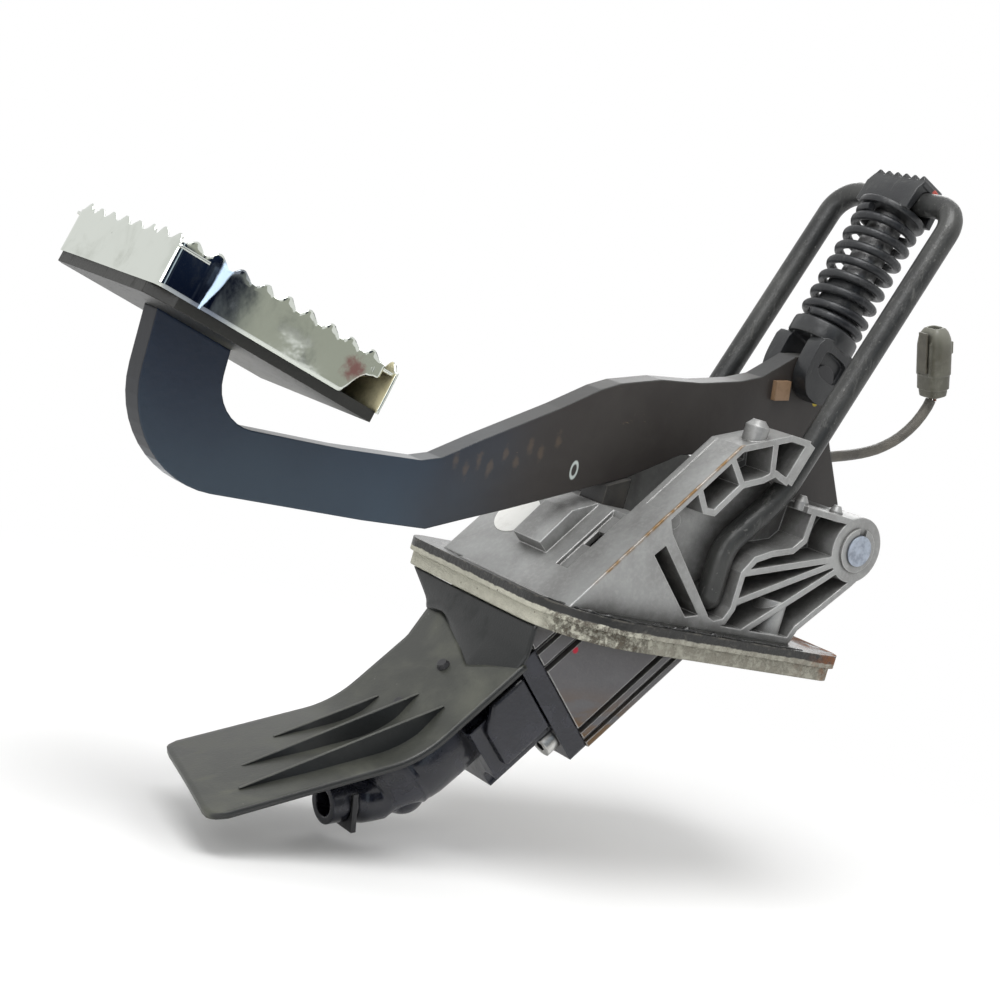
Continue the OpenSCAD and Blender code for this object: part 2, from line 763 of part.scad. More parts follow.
// Wear pad riveted to the near face of the arm
module wear_pad() {
    color("#a5824e") across(-arm_half - 3, -arm_half) translate([48.5, 128.2]) rotate(11.5) square(10);
}

// Barrel of the cylinder, in a frame with z up its axis and x square to it
barrel_top = 40;
barrel_low = -116;
dome_h = 7;
flange_t = 11;
bore_low = -98;
ring_s = 34;
piston_top = 8;
piston_h = 30;
// Inner face of the splash shield and its screws, measured from the axis of the barrel
shield_x = -24.8;
standoff_at = [-70, -98];
shield_screw_d = 4.2;

module on_cylinder() {
    along(cyl_foot, cyl_angle) children();
}

port_from = [-106, -96.5];
port_angle = 193;
port_len = 43;

module cylinder_body() {
    hw = snout_w / 2;
    color("#17181a") difference() {
        union() {
            on_cylinder() {
                translate([0, 0, barrel_low]) cylinder(h = barrel_top - barrel_low, d = barrel_d);
                translate([0, 0, barrel_low - dome_h]) cylinder(h = dome_h, d1 = barrel_d - 14, d2 = barrel_d);
                // Flange
                translate([shield_x + fit, -hw + 1, cyl_s0 - flange_t])
                    cube([flange_v1 - axis_v - 1 - shield_x - fit, 2 * hw + 8, flange_t]);
                // Box shaped shroud round the root of the barrel
                translate([-10, -30, cyl_s0 - flange_t - 36]) cube([41, 56, 37]);
                // Stand-offs of the splash shield
                for (s = standoff_at) translate([shield_x, -7, s - 7]) cube([12, 14, 14]);
            }
            along(port_from, port_angle) cylinder(h = port_len, d = port_d);
            along(port_from, port_angle) sphere(d = port_d + 3);
        }
        on_cylinder() {
            translate([0, 0, bore_low]) cylinder(h = barrel_top - bore_low + 1, d = bore_d);
            translate([0, 0, ring_s]) cylinder(h = 1.8, d = bore_d + 3);
            for (p = cyl_screw_at) {
                translate([p[0], p[1], cyl_s0 - flange_t - 1]) cylinder(h = flange_t + 2, d = cyl_screw_d + 0.6);
                translate([p[0], p[1], cyl_s0 - flange_t - 60]) cylinder(h = 60, d = 16);
            }
            for (s = standoff_at) translate([shield_x - 1, 0, s]) rotate([0, 90, 0])
                cylinder(h = 8, d = shield_screw_d);
        }
        along(port_from, port_angle) translate([0, 0, port_len - 30]) cylinder(h = 31, d = port_bore);
        // Slots of the hose clip, close to the mouth
        along(port_from, port_angle) for (y = [-1, 1])
            translate([-5, y * port_d / 2 - 1.5, port_len - 12]) cube([10, 3, 3]);
    }
}

module cylinder_screws() {
    color("#a8abae") on_cylinder() for (p = cyl_screw_at) translate([p[0], p[1], cyl_s0 - flange_t])
        difference() {
            union() {
                translate([0, 0, -7]) cylinder(h = 7, d = 13);
                cylinder(h = flange_t + cyl_screw_grip, d = cyl_screw_d);
            }
            translate([0, 0, -8]) cylinder(h = 5, d = 7, $fn = 6);
        }
}

module piston() {
    color("#c2c4c6") on_cylinder() difference() {
        translate([0, 0, piston_top - piston_h]) cylinder(h = piston_h, d = bore_d - 2 * run_gap);
        translate([0, 0, piston_top - 14]) cylinder(h = 15, d = 16.4);
        translate([0, 0, piston_top - piston_h + 4]) difference() {
            cylinder(h = 4, d = bore_d + 1);
            translate([0, 0, -1]) cylinder(h = 6, d = bore_d - 6);
        }
    }
}

module piston_seal() {
    color("#101010") on_cylinder() translate([0, 0, piston_top - piston_h + 4]) difference() {
        cylinder(h = 4, d = bore_d - 2 * run_gap);
        translate([0, 0, -1]) cylinder(h = 6, d = bore_d - 6);
    }
}

module stop_ring() {
    color("#6d7073") on_cylinder() translate([0, 0, ring_s + 0.1]) difference() {
        cylinder(h = 1.6, d = bore_d + 3);
        translate([0, 0, -1]) cylinder(h = 4, d = bore_d - 5);
    }
}

module port_clip() {
    color("#c0c2c4") along(port_from, port_angle) translate([0, 0, port_len - 11.8]) {
        for (y = [-1, 1]) translate([-5, y * (port_d / 2 + 0.75) - 0.75, 0]) cube([12, 1.5, 2.6]);
        difference() {
            translate([-port_d / 2 - 2, -port_d / 2 - 1.5, 0]) cube([port_d / 2, port_d + 3, 2.6]);
            translate([0, 0, -1]) cylinder(h = 6, d = port_d + 0.2);
        }
    }
}

ball_d = 11.4;
ball_s = piston_top - 7;
fork_len = 18;
fork_t = 5;

module pushrod() {
    fork_y = arm_half + side_gap;
    color("#9b9ea1") on_cylinder() difference() {
        union() {
            translate([0, 0, ball_s]) sphere(d = ball_d);
            translate([0, 0, ball_s]) cylinder(h = clevis_s - fork_len - ball_s, d = rod_d);
            translate([0, 0, clevis_s - fork_len - 6]) cylinder(h = 6, d = 16, $fn = 6);
            translate([-8, -fork_y - fork_t, clevis_s - fork_len])
                cube([16, 2 * (fork_y + fork_t), fork_len]);
            translate([0, fork_y + fork_t, clevis_s]) rotate([90, 0, 0])
                cylinder(h = 2 * (fork_y + fork_t), d = 16);
        }
        translate([-9, -fork_y, clevis_s - ear_r - 1.2]) cube([18, 2 * fork_y, 40]);
        translate([0, 20, clevis_s]) rotate([90, 0, 0]) cylinder(h = 40, d = clevis_pin_d + 2 * run_gap);
    }
}

module clevis_pin() {
    fork_out = arm_half + side_gap + fork_t;
    color("#a2a5a8") {
        crossbar(clevis, clevis_pin_d, -fork_out - 0.5, fork_out + 3);
        crossbar(clevis, clevis_pin_d + 4, -fork_out - 2.5, -fork_out - 0.4);
    }
}

module clevis_clip() {
    fork_out = arm_half + side_gap + fork_t;
    color("#6d7073") difference() {
        crossbar(clevis, clevis_pin_d + 6, fork_out + 0.5, fork_out + 1.7);
        crossbar(clevis, clevis_pin_d, 0, 40);
    }
}

boot_top = 95;
boot_folds = 5;

module pushrod_boot() {
    fold = (boot_top - 5 - barrel_top - 2) / boot_folds;
    color("#1a1a1a") on_cylinder() rotate_extrude() polygon(concat(
        [[barrel_d / 2, barrel_top - 10], [barrel_d / 2 + 1.6, barrel_top - 10], [barrel_d / 2 + 1.6, barrel_top + 2]],
        [for (i = [0 : boot_folds - 1]) each [
            [15 - i * 0.9, barrel_top + 2 + (i + 0.25) * fold],
            [20 - i * 1.1, barrel_top + 2 + (i + 0.8) * fold]
        ]],
        [[rod_d / 2 + 4, boot_top - 4], [rod_d / 2 + 4, boot_top], [rod_d / 2 + 2.4, boot_top],
            [rod_d / 2 + 2.4, boot_top - 5]],
        [for (i = [boot_folds - 1 : -1 : 0]) each [
            [18.2 - i * 1.1, barrel_top + 2 + (i + 0.8) * fold - 0.4],
            [13.4 - i * 0.9, barrel_top + 2 + (i + 0.25) * fold]
        ]],
        [[barrel_d / 2 - 2, barrel_top + 0.2], [barrel_d / 2, barrel_top + 0.2]]
    ));
}

// The splash shield: an upper leaf along the barrel, and a flatter lower leaf
shield_bend = at_uv(138, axis_v + shield_x);
shield_low_angle = 199.5;

module shield_leaf(angle, plan, skew) {
    along(shield_bend, angle) translate([skew, 0, 0]) rotate([0, -90, 0])
        linear_extrude(shield_t) polygon([for (p = plan) [p[1], p[0]]]);
}

module splash_shield() {
    hw = shield_w / 2;
    upper = [[hw + 8, 70], [33, 73], [19, 66], [-11, 51], [-hw, 65], [-hw, 0], [hw, 0]];
    lower = [[-hw, 0], [-hw, 104], [-hw + 6, 108], [hw - 4, 90], [hw, 86], [hw, 0]];
    color("#23251f") difference() {
        union() {
            shield_leaf(cyl_angle, upper, 0);
            shield_leaf(shield_low_angle, lower, shield_t);
            // Gussets across the bend
            for (g = [[22, 16, 30], [5, 28, 40], [-15, 28, 40]]) across(g[0] - 1.5, g[0] + 1.5)
                polygon([
                    polar(shield_bend, 1.5, 124), shield_bend - g[1] * dir_u - 1.5 * dir_v,
                    polar(polar(shield_bend, g[2], shield_low_angle), 1.5, shield_low_angle - 90)
                ]);
        }
        on_cylinder() for (s = standoff_at) translate([shield_x - 15, 0, s]) rotate([0, 90, 0])
            cylinder(h = 20, d = shield_screw_d + 0.4);
    }
}

module shield_screws() {
    color("#8c8f90") on_cylinder() for (s = standoff_at)
        translate([shield_x - shield_t, 0, s]) rotate([0, 90, 0]) {
            translate([0, 0, -2.5]) cylinder(h = 2.5, d1 = 4.6, d2 = 6.6);
            cylinder(h = shield_t + 6, d = shield_screw_d);
        }
}

module stop_bumper() {
    slope = (stop_high[1] - stop_low[1]) / (stop_high[0] - stop_low[0]);
    x0 = wall_head[0] + 1.5;
    x1 = wall_head[0] + shelf_len - 1.5;
    color("#111111") across(-9, 9) polygon([
        [x0, wall_top], [x1, wall_top],
        [x1, stop_low[1] + (x1 - stop_low[0]) * slope - fit],
        [x0, stop_low[1] + (x0 - stop_low[0]) * slope - fit]
    ]);
}

module on_switch() {
    translate([0, switch_y, 0]) along(switch_tip, switch_angle) children();
}

module clutch_switch() {
    color("#202124") on_switch() difference() {
        union() {
            translate([0, 0, 5]) cylinder(h = 24, d = switch_d);
            translate([0, 0, 26]) cylinder(h = 8, d = switch_d + 3);
        }
        translate([0, 0, 4]) cylinder(h = 16, d = 6 + 2 * run_gap);
        // Mouth of the lead
        translate([0, 0, 32.5]) cylinder(h = 2, d = lead_d + 1);
    }
}

module switch_nut() {
    color("#a8abae") on_switch() for (s = [ear_s - 5, ear_s + ear_t + 0.05]) translate([0, 0, s]) difference() {
        cylinder(h = 4.9, d = 20.4, $fn = 6);
        translate([0, 0, -1]) cylinder(h = 8, d = switch_d);
    }
}

module switch_plunger() {
    color("#d8d6cc") on_switch() {
        translate([0, 0, 1]) cylinder(h = 12, d = 6);
        cylinder(h = 1, d1 = 4, d2 = 6);
    }
}

// Route of the lead, in round numbers
lead_route = [
    [118, 21, 106.5], [124.5, 21.5, 105.5], [131, 22, 106], [137.5, 22.5, 107.5], [143.5, 22.5, 109],
    [149.5, 23, 110.5], [156, 23, 112.5], [161.5, 23, 114.5], [167.5, 23, 117], [173, 23, 120],
    [178.5, 23, 123.5], [183.5, 23, 127.5], [188, 23, 132], [192, 23, 137], [195, 23, 142],
    [197.5, 23, 147.5], [198.5, 23, 151.5]
];

module switch_lead() {
    sides = 10;
    last = len(lead_route) - 1;
    rings = [for (i = [0 : last])
        let (
            d = lead_route[min(i + 1, last)] - lead_route[max(i - 1, 0)],
            w = d / norm(d),
            n = cross(w, [0, 1, 0]) / norm(cross(w, [0, 1, 0])),
            m = cross(n, w)
        )
        for (k = [0 : sides - 1])
            lead_route[i] + lead_d / 2 * (cos(k * 360 / sides) * m + sin(k * 360 / sides) * n)];
    skin = [for (i = [0 : last - 1], k = [0 : sides - 1])
        let (p = i * sides + k, q = i * sides + (k + 1) % sides)
        each [[p, q + sides, p + sides], [p, q, q + sides]]];
    caps = [[for (k = [sides - 1 : -1 : 0]) k], [for (k = [0 : sides - 1]) last * sides + k]];
    color("#1b1b1c") polyhedron(points = rings, faces = concat(skin, caps), convexity = 6);
}

// Connector at the end of the lead
plug_foot = [198, 157];
plug_angle = 112;

module on_plug() {
    translate([0, 23, 0]) along(plug_foot, plug_angle) children();
}

module connector_body() {
    color("#1c1d1f") on_plug() difference() {
        union() {
            translate([-7, -8, 0]) cube([14, 16, 37]);
            translate([-6, -7, -3]) cube([12, 14, 4]);
            for (x = [-8, 7]) translate([x, -5, 6]) cube([1, 10, 22]);
        }
        translate([-5, -6, 25]) cube([10, 12, 13]);
        for (y = [-1.6, 1.6]) translate([0, y, -4]) cylinder(h = 9, d = 2);
    }
}

module connector_latch() {
    color("#2b2c2e") on_plug() {
        translate([-9.6, -3, 12]) cube([1.2, 6, 23]);
        translate([-9.6, -3, 12]) cube([1.6, 6, 3]);
    }
}

module connector_wires() {
    color("#6b3b30") on_plug() for (y = [-1.6, 1.6]) translate([0, y, -5.65]) cylinder(h = 10.65, d = 2);
}

housing();
mount_plate();
flange_gasket();
plate_screws();
wall_label();
pedal_arm();
arm_bushes();
pad_plate();
pad_cover();
pivot_pin();
pin_clip();
assist_bail();
assist_spring();
spring_seat();
guide_rod();
spring_guide();
nose_pin();
wear_pad();
cylinder_body();
cylinder_screws();
piston();
piston_seal();
stop_ring();
port_clip();
pushrod();
clevis_pin();
clevis_clip();
pushrod_boot();
splash_shield();
shield_screws();
stop_bumper();
clutch_switch();
switch_nut();
switch_plunger();
switch_lead();
connector_body();
connector_latch();
connector_wires();
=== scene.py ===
import bmesh
import bpy
import math
import random
from mathutils import Matrix, Vector, noise


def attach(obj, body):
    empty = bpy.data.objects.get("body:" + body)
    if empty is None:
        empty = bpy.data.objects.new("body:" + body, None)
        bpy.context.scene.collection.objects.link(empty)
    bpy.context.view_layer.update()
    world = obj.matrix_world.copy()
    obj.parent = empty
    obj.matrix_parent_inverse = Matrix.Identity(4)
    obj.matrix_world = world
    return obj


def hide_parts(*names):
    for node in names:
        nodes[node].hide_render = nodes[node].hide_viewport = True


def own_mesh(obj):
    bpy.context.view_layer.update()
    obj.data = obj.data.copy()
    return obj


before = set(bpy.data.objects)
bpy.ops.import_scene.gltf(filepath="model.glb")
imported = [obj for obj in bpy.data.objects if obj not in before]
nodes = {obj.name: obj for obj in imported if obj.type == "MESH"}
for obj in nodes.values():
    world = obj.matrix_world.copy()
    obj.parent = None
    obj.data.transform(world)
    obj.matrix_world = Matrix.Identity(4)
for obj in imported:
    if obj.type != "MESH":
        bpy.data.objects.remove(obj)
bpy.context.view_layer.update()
print("frame loaded:", len(nodes), "nodes")

# the camera stands where the pedal was photographed from
shot = {
    "place": (-0.6750, -0.7376, 0.1391),
    "right": (0.7729, -0.5720, 0.2749),
    "up": (-0.1605, 0.2429, 0.9567),
    "back": (-0.6139, -0.7835, 0.0959),
    "lens": 72.0,
}


def addCamera():
    data = bpy.data.cameras.new("shotCamera")
    data.lens = shot["lens"]
    data.sensor_width = 36.0
    data.clip_start, data.clip_end = 0.05, 40
    camera = bpy.data.objects.new("shotCamera", data)
    bpy.context.scene.collection.objects.link(camera)
    axes = Matrix((shot["right"], shot["up"], shot["back"])).transposed()
    spin = axes.to_quaternion().to_matrix().to_4x4()
    camera.matrix_world = Matrix.Translation(shot["place"]) @ spin
    bpy.context.scene.camera = camera


addCamera()
print("camera placed")


# helpers for shader nodes; sizes are in metres of the real part
# each helper adds its nodes to the tree of the sockets that it is given

def newNode(kind, near):
    return near.id_data.nodes.new(kind)


def isSocket(value):
    return isinstance(value, bpy.types.NodeSocket)


def placeOf(tree):
    return tree.nodes.new("ShaderNodeTexCoord").outputs["Object"]


def startFinish(name, metallic=0.0, rough=0.5, level=0.5):
    finish = bpy.data.materials.new(name)
    finish.use_nodes = True
    skin = finish.node_tree.nodes["Principled BSDF"]
    skin.inputs["Metallic"].default_value = metallic
    skin.inputs["Roughness"].default_value = rough
    skin.inputs["Specular IOR Level"].default_value = level
    return finish, skin, placeOf(finish.node_tree)


def wire(value, socket):
    if isSocket(value):
        socket.id_data.links.new(value, socket)
    else:
        socket.default_value = value


def coat(skin, base, rough):
    wire(base, skin.inputs["Base Color"])
    wire(rough, skin.inputs["Roughness"])


def sums(kind, first, second=0.0, clamp=False):
    made = newNode("ShaderNodeMath", first if isSocket(first) else second)
    made.operation = kind
    made.use_clamp = clamp
    wire(first, made.inputs[0])
    wire(second, made.inputs[1])
    return made.outputs[0]


def times(first, second):
    return sums("MULTIPLY", first, second)


def plus(first, second):
    return sums("ADD", first, second)


def less(first, second, clamp=False):
    return sums("SUBTRACT", first, second, clamp)


def most(first, second):
    return sums("MAXIMUM", first, second)


def apart(first, second):
    return sums("ABSOLUTE", less(first, second))


def vectors(kind, first, second=(0, 0, 0)):
    # the distance or dot product of two vectors, or the length of one
    made = newNode("ShaderNodeVectorMath", first)
    made.operation = kind
    wire(first, made.inputs[0])
    wire(second, made.inputs[1])
    return made.outputs["Value"]


def stretched(place, scale=(1, 1, 1), turn=(0, 0, 0), shift=(0, 0, 0)):
    made = newNode("ShaderNodeMapping", place)
    wire(place, made.inputs["Vector"])
    made.inputs["Location"].default_value = shift
    made.inputs["Rotation"].default_value = turn
    made.inputs["Scale"].default_value = scale
    return made.outputs[0]


def axisOf(place, which):
    made = newNode("ShaderNodeSeparateXYZ", place)
    wire(place, made.inputs[0])
    return made.outputs[which]


def grain(place, size, detail=3.0, rough=0.55, warp=0.0):
    made = newNode("ShaderNodeTexNoise", place)
    wire(place, made.inputs["Vector"])
    made.inputs["Scale"].default_value = 1.0 / size
    made.inputs["Detail"].default_value = detail
    made.inputs["Roughness"].default_value = rough
    made.inputs["Distortion"].default_value = warp
    return made.outputs[0]


def cells(place, size):
    made = newNode("ShaderNodeTexVoronoi", place)
    wire(place, made.inputs["Vector"])
    made.inputs["Scale"].default_value = 1.0 / size
    return made.outputs["Distance"]


def between(value, low, high, fromLow=0.0, toHigh=1.0):
    # a soft step from fromLow to toHigh while the value goes from low to high
    made = newNode("ShaderNodeMapRange", value)
    made.interpolation_type = "SMOOTHSTEP"
    wire(value, made.inputs["Value"])
    ends = {"From Min": low, "From Max": high, "To Min": fromLow, "To Max": toHigh}
    for socket, number in ends.items():
        made.inputs[socket].default_value = number
    return made.outputs["Result"]


def tone(share, first, second):
    made = newNode("ShaderNodeMix", share)
    made.data_type = "RGBA"
    wire(share, made.inputs[0])
    for socket, value in ((made.inputs[6], first), (made.inputs[7], second)):
        wire(value if isSocket(value) else (*value, 1.0), socket)
    return made.outputs[2]


def over(base, colour, share, much=None):
    # lays a colour over the base where the share is high
    return tone(share if much is None else times(share, much), base, colour)


def softNormal(near, radius):
    soft = newNode("ShaderNodeBevel", near)
    soft.samples = 6
    soft.inputs["Radius"].default_value = radius
    return soft.outputs[0]


def edgeShare(near, radius, low=0.02, high=0.22):
    # how far the rounded normal leaves the flat one: high along outer and inner edges
    flat = newNode("ShaderNodeNewGeometry", near).outputs["Normal"]
    return between(less(1.0, vectors("DOT_PRODUCT", softNormal(near, radius), flat)), low, high)


def hollowShare(near, reach, low=0.35, high=0.95):
    # how deep a point sits in a hollow; the finishes use it for painted shade in recesses, the casting for
    # its dirt too
    made = newNode("ShaderNodeAmbientOcclusion", near)
    made.samples = 8
    made.inputs["Distance"].default_value = reach
    return less(1.0, between(made.outputs["AO"], low, high))


def facing(near, which, low, high):
    # how far the skin looks along one axis of its own piece, from -1 to 1
    # the finishes use it for painted light and shade
    normal = newNode("ShaderNodeTexCoord", near).outputs["Normal"]
    return between(axisOf(normal, which), low, high)


def away(place, spot, near, far):
    # share that falls from 1 to 0 between two distances from a spot
    return between(vectors("DISTANCE", place, spot), far, near)


def relief(skin, height, depth, round=0.0):
    made = newNode("ShaderNodeBump", height)
    made.inputs["Strength"].default_value = 1.0
    made.inputs["Distance"].default_value = depth
    wire(height, made.inputs["Height"])
    if round:
        wire(softNormal(height, round), made.inputs["Normal"])
    wire(made.outputs[0], skin.inputs["Normal"])


def dress(finish, *names):
    for name in names:
        mesh = nodes[name].data
        mesh.materials.clear()
        mesh.materials.append(finish)


# helpers for meshes

def newPiece(name, points, faces, finish, body, stands=(), closed=True, sharp=38, round=0.0):
    mesh = bpy.data.meshes.new(name)
    mesh.from_pydata([tuple(p) for p in points], [], faces)
    mesh.validate()
    if closed:  # every closed skin looks outwards
        skin = bmesh.new()
        skin.from_mesh(mesh)
        bmesh.ops.recalc_face_normals(skin, faces=skin.faces)
        skin.to_mesh(mesh)
        skin.free()
    mesh.polygons.foreach_set("use_smooth", [True] * len(mesh.polygons))
    mesh.set_sharp_from_angle(angle=math.radians(sharp))
    mesh.materials.append(finish)
    piece = bpy.data.objects.new(name, mesh)
    bpy.context.scene.collection.objects.link(piece)
    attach(piece, body)
    if stands:
        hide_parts(*stands)
    if round:
        soft = piece.modifiers.new("rounding", "BEVEL")
        soft.width = round
        soft.segments = 2
        soft.limit_method = "ANGLE"
        soft.angle_limit = math.radians(32)
    return piece


def joined(*parts):
    # several closed skins in one piece
    points, faces = [], []
    for some, skin in parts:
        start = len(points)
        points += some
        faces += [tuple(start + i for i in face) for face in skin]
    return points, faces


def slab(outline, place, low, high, hole=None, depth=0.0):
    # an outline (a, b) between two levels, as place(a, b, level); hole is a recess with as many corners
    count = len(outline)
    points = [place(a, b, low) for a, b in outline] + [place(a, b, high) for a, b in outline]
    faces = [(k, (k + 1) % count, count + (k + 1) % count, count + k) for k in range(count)]
    faces.append(tuple(range(count, 2 * count)))
    if hole:
        points += [place(a, b, low) for a, b in hole] + [place(a, b, low + depth) for a, b in hole]
        for k in range(count):
            m = (k + 1) % count
            faces.append((k, m, 2 * count + m, 2 * count + k))
            faces.append((2 * count + k, 2 * count + m, 3 * count + m, 3 * count + k))
        faces.append(tuple(range(3 * count, 4 * count)))
    else:
        faces.append(tuple(range(count)))
    return points, faces


def turned(profile, foot, ahead, sides=56):
    # revolves (radius, way) pairs round an axis; the profile is a closed loop
    ahead = Vector(ahead).normalized()
    side = Vector((0, 1, 0))
    other = ahead.cross(side).normalized()
    points, faces = [], []
    for radius, way in profile:
        for k in range(sides):
            a = 2 * math.pi * k / sides
            points.append(Vector(foot) + ahead * way + radius * (math.cos(a) * side + math.sin(a) * other))
    for i in range(len(profile)):
        j = (i + 1) % len(profile)
        for k in range(sides):
            m = (k + 1) % sides
            faces.append((i * sides + k, i * sides + m, j * sides + m, j * sides + k))
    return points, faces


def heightAt(pairs, x):
    # straight lines between (x, value) pairs
    for (x0, v0), (x1, v1) in zip(pairs, pairs[1:]):
        if x <= x1:
            share = min(1.0, max(0.0, (x - x0) / (x1 - x0)))
            return v0 + (v1 - v0) * share
    return pairs[-1][1]


def sheetFaces(points, rows, columns, towards):
    # a grid of rows times columns whose faces look towards a direction
    faces = []
    for i in range(rows - 1):
        for j in range(columns - 1):
            a = i * columns + j
            faces.append((a, a + columns, a + columns + 1, a + 1))
    a, b, c = (Vector(points[k]) for k in faces[len(faces) // 2][:3])
    if (b - a).cross(c - a).dot(Vector(towards)) < 0:
        faces = [tuple(reversed(face)) for face in faces]
    return faces


def thicken(piece, thickness, inside=None):
    # gives a sheet its thickness, away from the side that it faces
    sheet = piece.modifiers.new("sheet", "SOLIDIFY")
    sheet.thickness = thickness
    sheet.offset = -1.0
    if inside:
        piece.data.materials.append(inside)
        sheet.material_offset = 1


def bendPath(corners, radii, steps=8):
    # straight runs joined by arcs; corners in metres
    corners = [Vector(c) for c in corners]
    path = [corners[0]]
    for before, here, after, radius in zip(corners, corners[1:], corners[2:], radii):
        inward, outward = (before - here).normalized(), (after - here).normalized()
        half = inward.angle(outward) / 2
        reach = min(radius / math.tan(half), 0.48 * (before - here).length, 0.48 * (after - here).length)
        true = reach * math.tan(half)
        centre = here + (inward + outward).normalized() * (true / math.sin(half))
        first, last = here + inward * reach - centre, here + outward * reach - centre
        sweep = first.angle(last)
        for i in range(steps + 1):
            share = i / steps
            arm = (math.sin((1 - share) * sweep) * first + math.sin(share * sweep) * last) / math.sin(sweep)
            path.append(centre + arm)
    path.append(corners[-1])
    return path


def sweep(path, radius, sides):
    # a tube along a path, without twist; radius is a number or a function of the share of the way
    points, faces = [], []
    total = sum((b - a).length for a, b in zip(path, path[1:]))
    way = 0.0
    side = None
    for i, here in enumerate(path):
        ahead = (path[min(i + 1, len(path) - 1)] - path[max(i - 1, 0)]).normalized()
        if i:
            way += (here - path[i - 1]).length
        if side is None:
            side = ahead.orthogonal().normalized()
        side = (side - ahead * side.dot(ahead)).normalized()
        other = ahead.cross(side)
        size = radius(way / total) if callable(radius) else radius
        for k in range(sides):
            a = 2 * math.pi * k / sides
            points.append(here + size * (math.cos(a) * side + math.sin(a) * other))
    for i in range(len(path) - 1):
        for k in range(sides):
            a, b = i * sides + k, i * sides + (k + 1) % sides
            faces.append((a, b, b + sides, a + sides))
    faces.append(tuple(range(sides - 1, -1, -1)))
    faces.append(tuple((len(path) - 1) * sides + k for k in range(sides)))
    return points, faces


# connector: a rounded housing with an open mouth, a lock tab, two ribs and a seam round its foot
plug = {
    "foot": (0.198, 0.023, 0.157),
    "angle": 112.0,
    "sections": [  # way along, half width, half depth
        (-0.0030, 0.0052, 0.0060), (-0.0026, 0.0058, 0.0067), (0.0000, 0.0062, 0.0071),
        (0.0012, 0.0062, 0.0071), (0.0016, 0.0070, 0.0080), (0.0095, 0.0072, 0.0081),
        (0.0100, 0.0076, 0.0086), (0.0270, 0.0076, 0.0086), (0.0310, 0.0071, 0.0080),
        (0.0342, 0.0060, 0.0069), (0.0362, 0.0046, 0.0056), (0.0369, 0.0034, 0.0044),
        (0.0366, 0.0029, 0.0039), (0.0350, 0.0027, 0.0037), (0.0250, 0.0027, 0.0037),
    ],
    "tab": [(0.0066, 0.0185), (0.0105, 0.0195), (0.0122, 0.0205), (0.0122, 0.0270), (0.0066, 0.0290)],
    "tabHalf": 0.0030,
    "rib": [(-0.0083, 0.0110), (-0.0083, 0.0285), (-0.0070, 0.0300), (-0.0070, 0.0095)],
    "ribHalf": 0.0007,
    "ribsAt": (-0.0042, 0.0042),
    "base": (0.075, 0.072, 0.052),
    "top": (0.20, 0.20, 0.165),
    "topFrom": 0.178,
    "topTo": 0.190,
    "edge": (0.26, 0.26, 0.21),
    "hollowShade": (0.012, 0.011, 0.009),
}


def onPlug(x, way, y):
    a = math.radians(plug["angle"])
    c, s = math.cos(a), math.sin(a)
    fx, fy, fz = plug["foot"]
    return Vector((fx + way * c + x * s, fy + y, fz + way * s - x * c))


def plugShellFinish():
    finish, skin, place = startFinish("plugShell", rough=0.42)
    high = between(axisOf(place, 2), plug["topFrom"], plug["topTo"])
    film = between(grain(place, 0.01, 5, 0.6, 0.4), 0.42, 0.75, 0.0, 0.5)
    base = tone(most(times(high, 0.75), film), plug["base"], plug["top"])
    base = over(base, plug["edge"], edgeShare(place, 0.0008), 0.5)
    # painted shade in the hollows of the connector
    base = over(base, plug["hollowShade"], hollowShare(place, 0.004), 0.8)
    coat(skin, base, between(film, 0, 0.5, 0.36, 0.6))
    relief(skin, grain(place, 0.0009, 3), 0.0001, 0.0004)
    return finish


def addPlug():
    finish = plugShellFinish()
    count = 36
    points, faces = [], []
    for way, wide, deep in plug["sections"]:
        for k in range(count):
            a = 2 * math.pi * k / count
            c, s = math.cos(a), math.sin(a)
            reach = (abs(c) ** 4 + abs(s) ** 4) ** -0.25
            points.append(onPlug(wide * reach * c, way, deep * reach * s))
    last = len(plug["sections"]) - 1
    for i in range(last):
        for k in range(count):
            m = (k + 1) % count
            faces.append((i * count + k, i * count + m, (i + 1) * count + m, (i + 1) * count + k))
    faces.append(tuple(range(count)))
    faces.append(tuple(last * count + k for k in range(count)))
    parts = [(points, faces), slab(plug["tab"], onPlug, -plug["tabHalf"], plug["tabHalf"])]
    for edge in plug["ribsAt"]:
        parts.append(slab(plug["rib"], onPlug, edge - plug["ribHalf"], edge + plug["ribHalf"]))
    points, faces = joined(*parts)
    newPiece("plugShell", points, faces, finish, "base", ["connector_body"], round=0.0004)


addPlug()
print("connector moulded")


# switch lead, free in the air and stiff, from the switch to its connector
lead = {
    "route": [
        (0.118, 0.021, 0.1065), (0.1245, 0.0215, 0.1055), (0.131, 0.022, 0.106), (0.1375, 0.0225, 0.1075),
        (0.1435, 0.0225, 0.109), (0.1495, 0.023, 0.1105), (0.156, 0.023, 0.1125), (0.1615, 0.023, 0.1145),
        (0.1675, 0.023, 0.117), (0.173, 0.023, 0.120), (0.1785, 0.023, 0.1235), (0.1835, 0.023, 0.1275),
        (0.188, 0.023, 0.132), (0.192, 0.023, 0.137), (0.195, 0.023, 0.142), (0.1975, 0.023, 0.1475),
        (0.1985, 0.023, 0.1515),
    ],
    "diameter": 0.006,
    "sheath": (0.060, 0.055, 0.046),
    "dust": (0.14, 0.13, 0.11),
}


def sheathFinish():
    finish, skin, place = startFinish("leadSheath", rough=0.55)
    patches = between(grain(place, 0.012, 4), 0.35, 0.75)
    coat(skin, tone(patches, lead["sheath"], lead["dust"]), between(patches, 0, 1, 0.45, 0.7))
    relief(skin, grain(place, 0.0012, 3), 0.00025)
    return finish


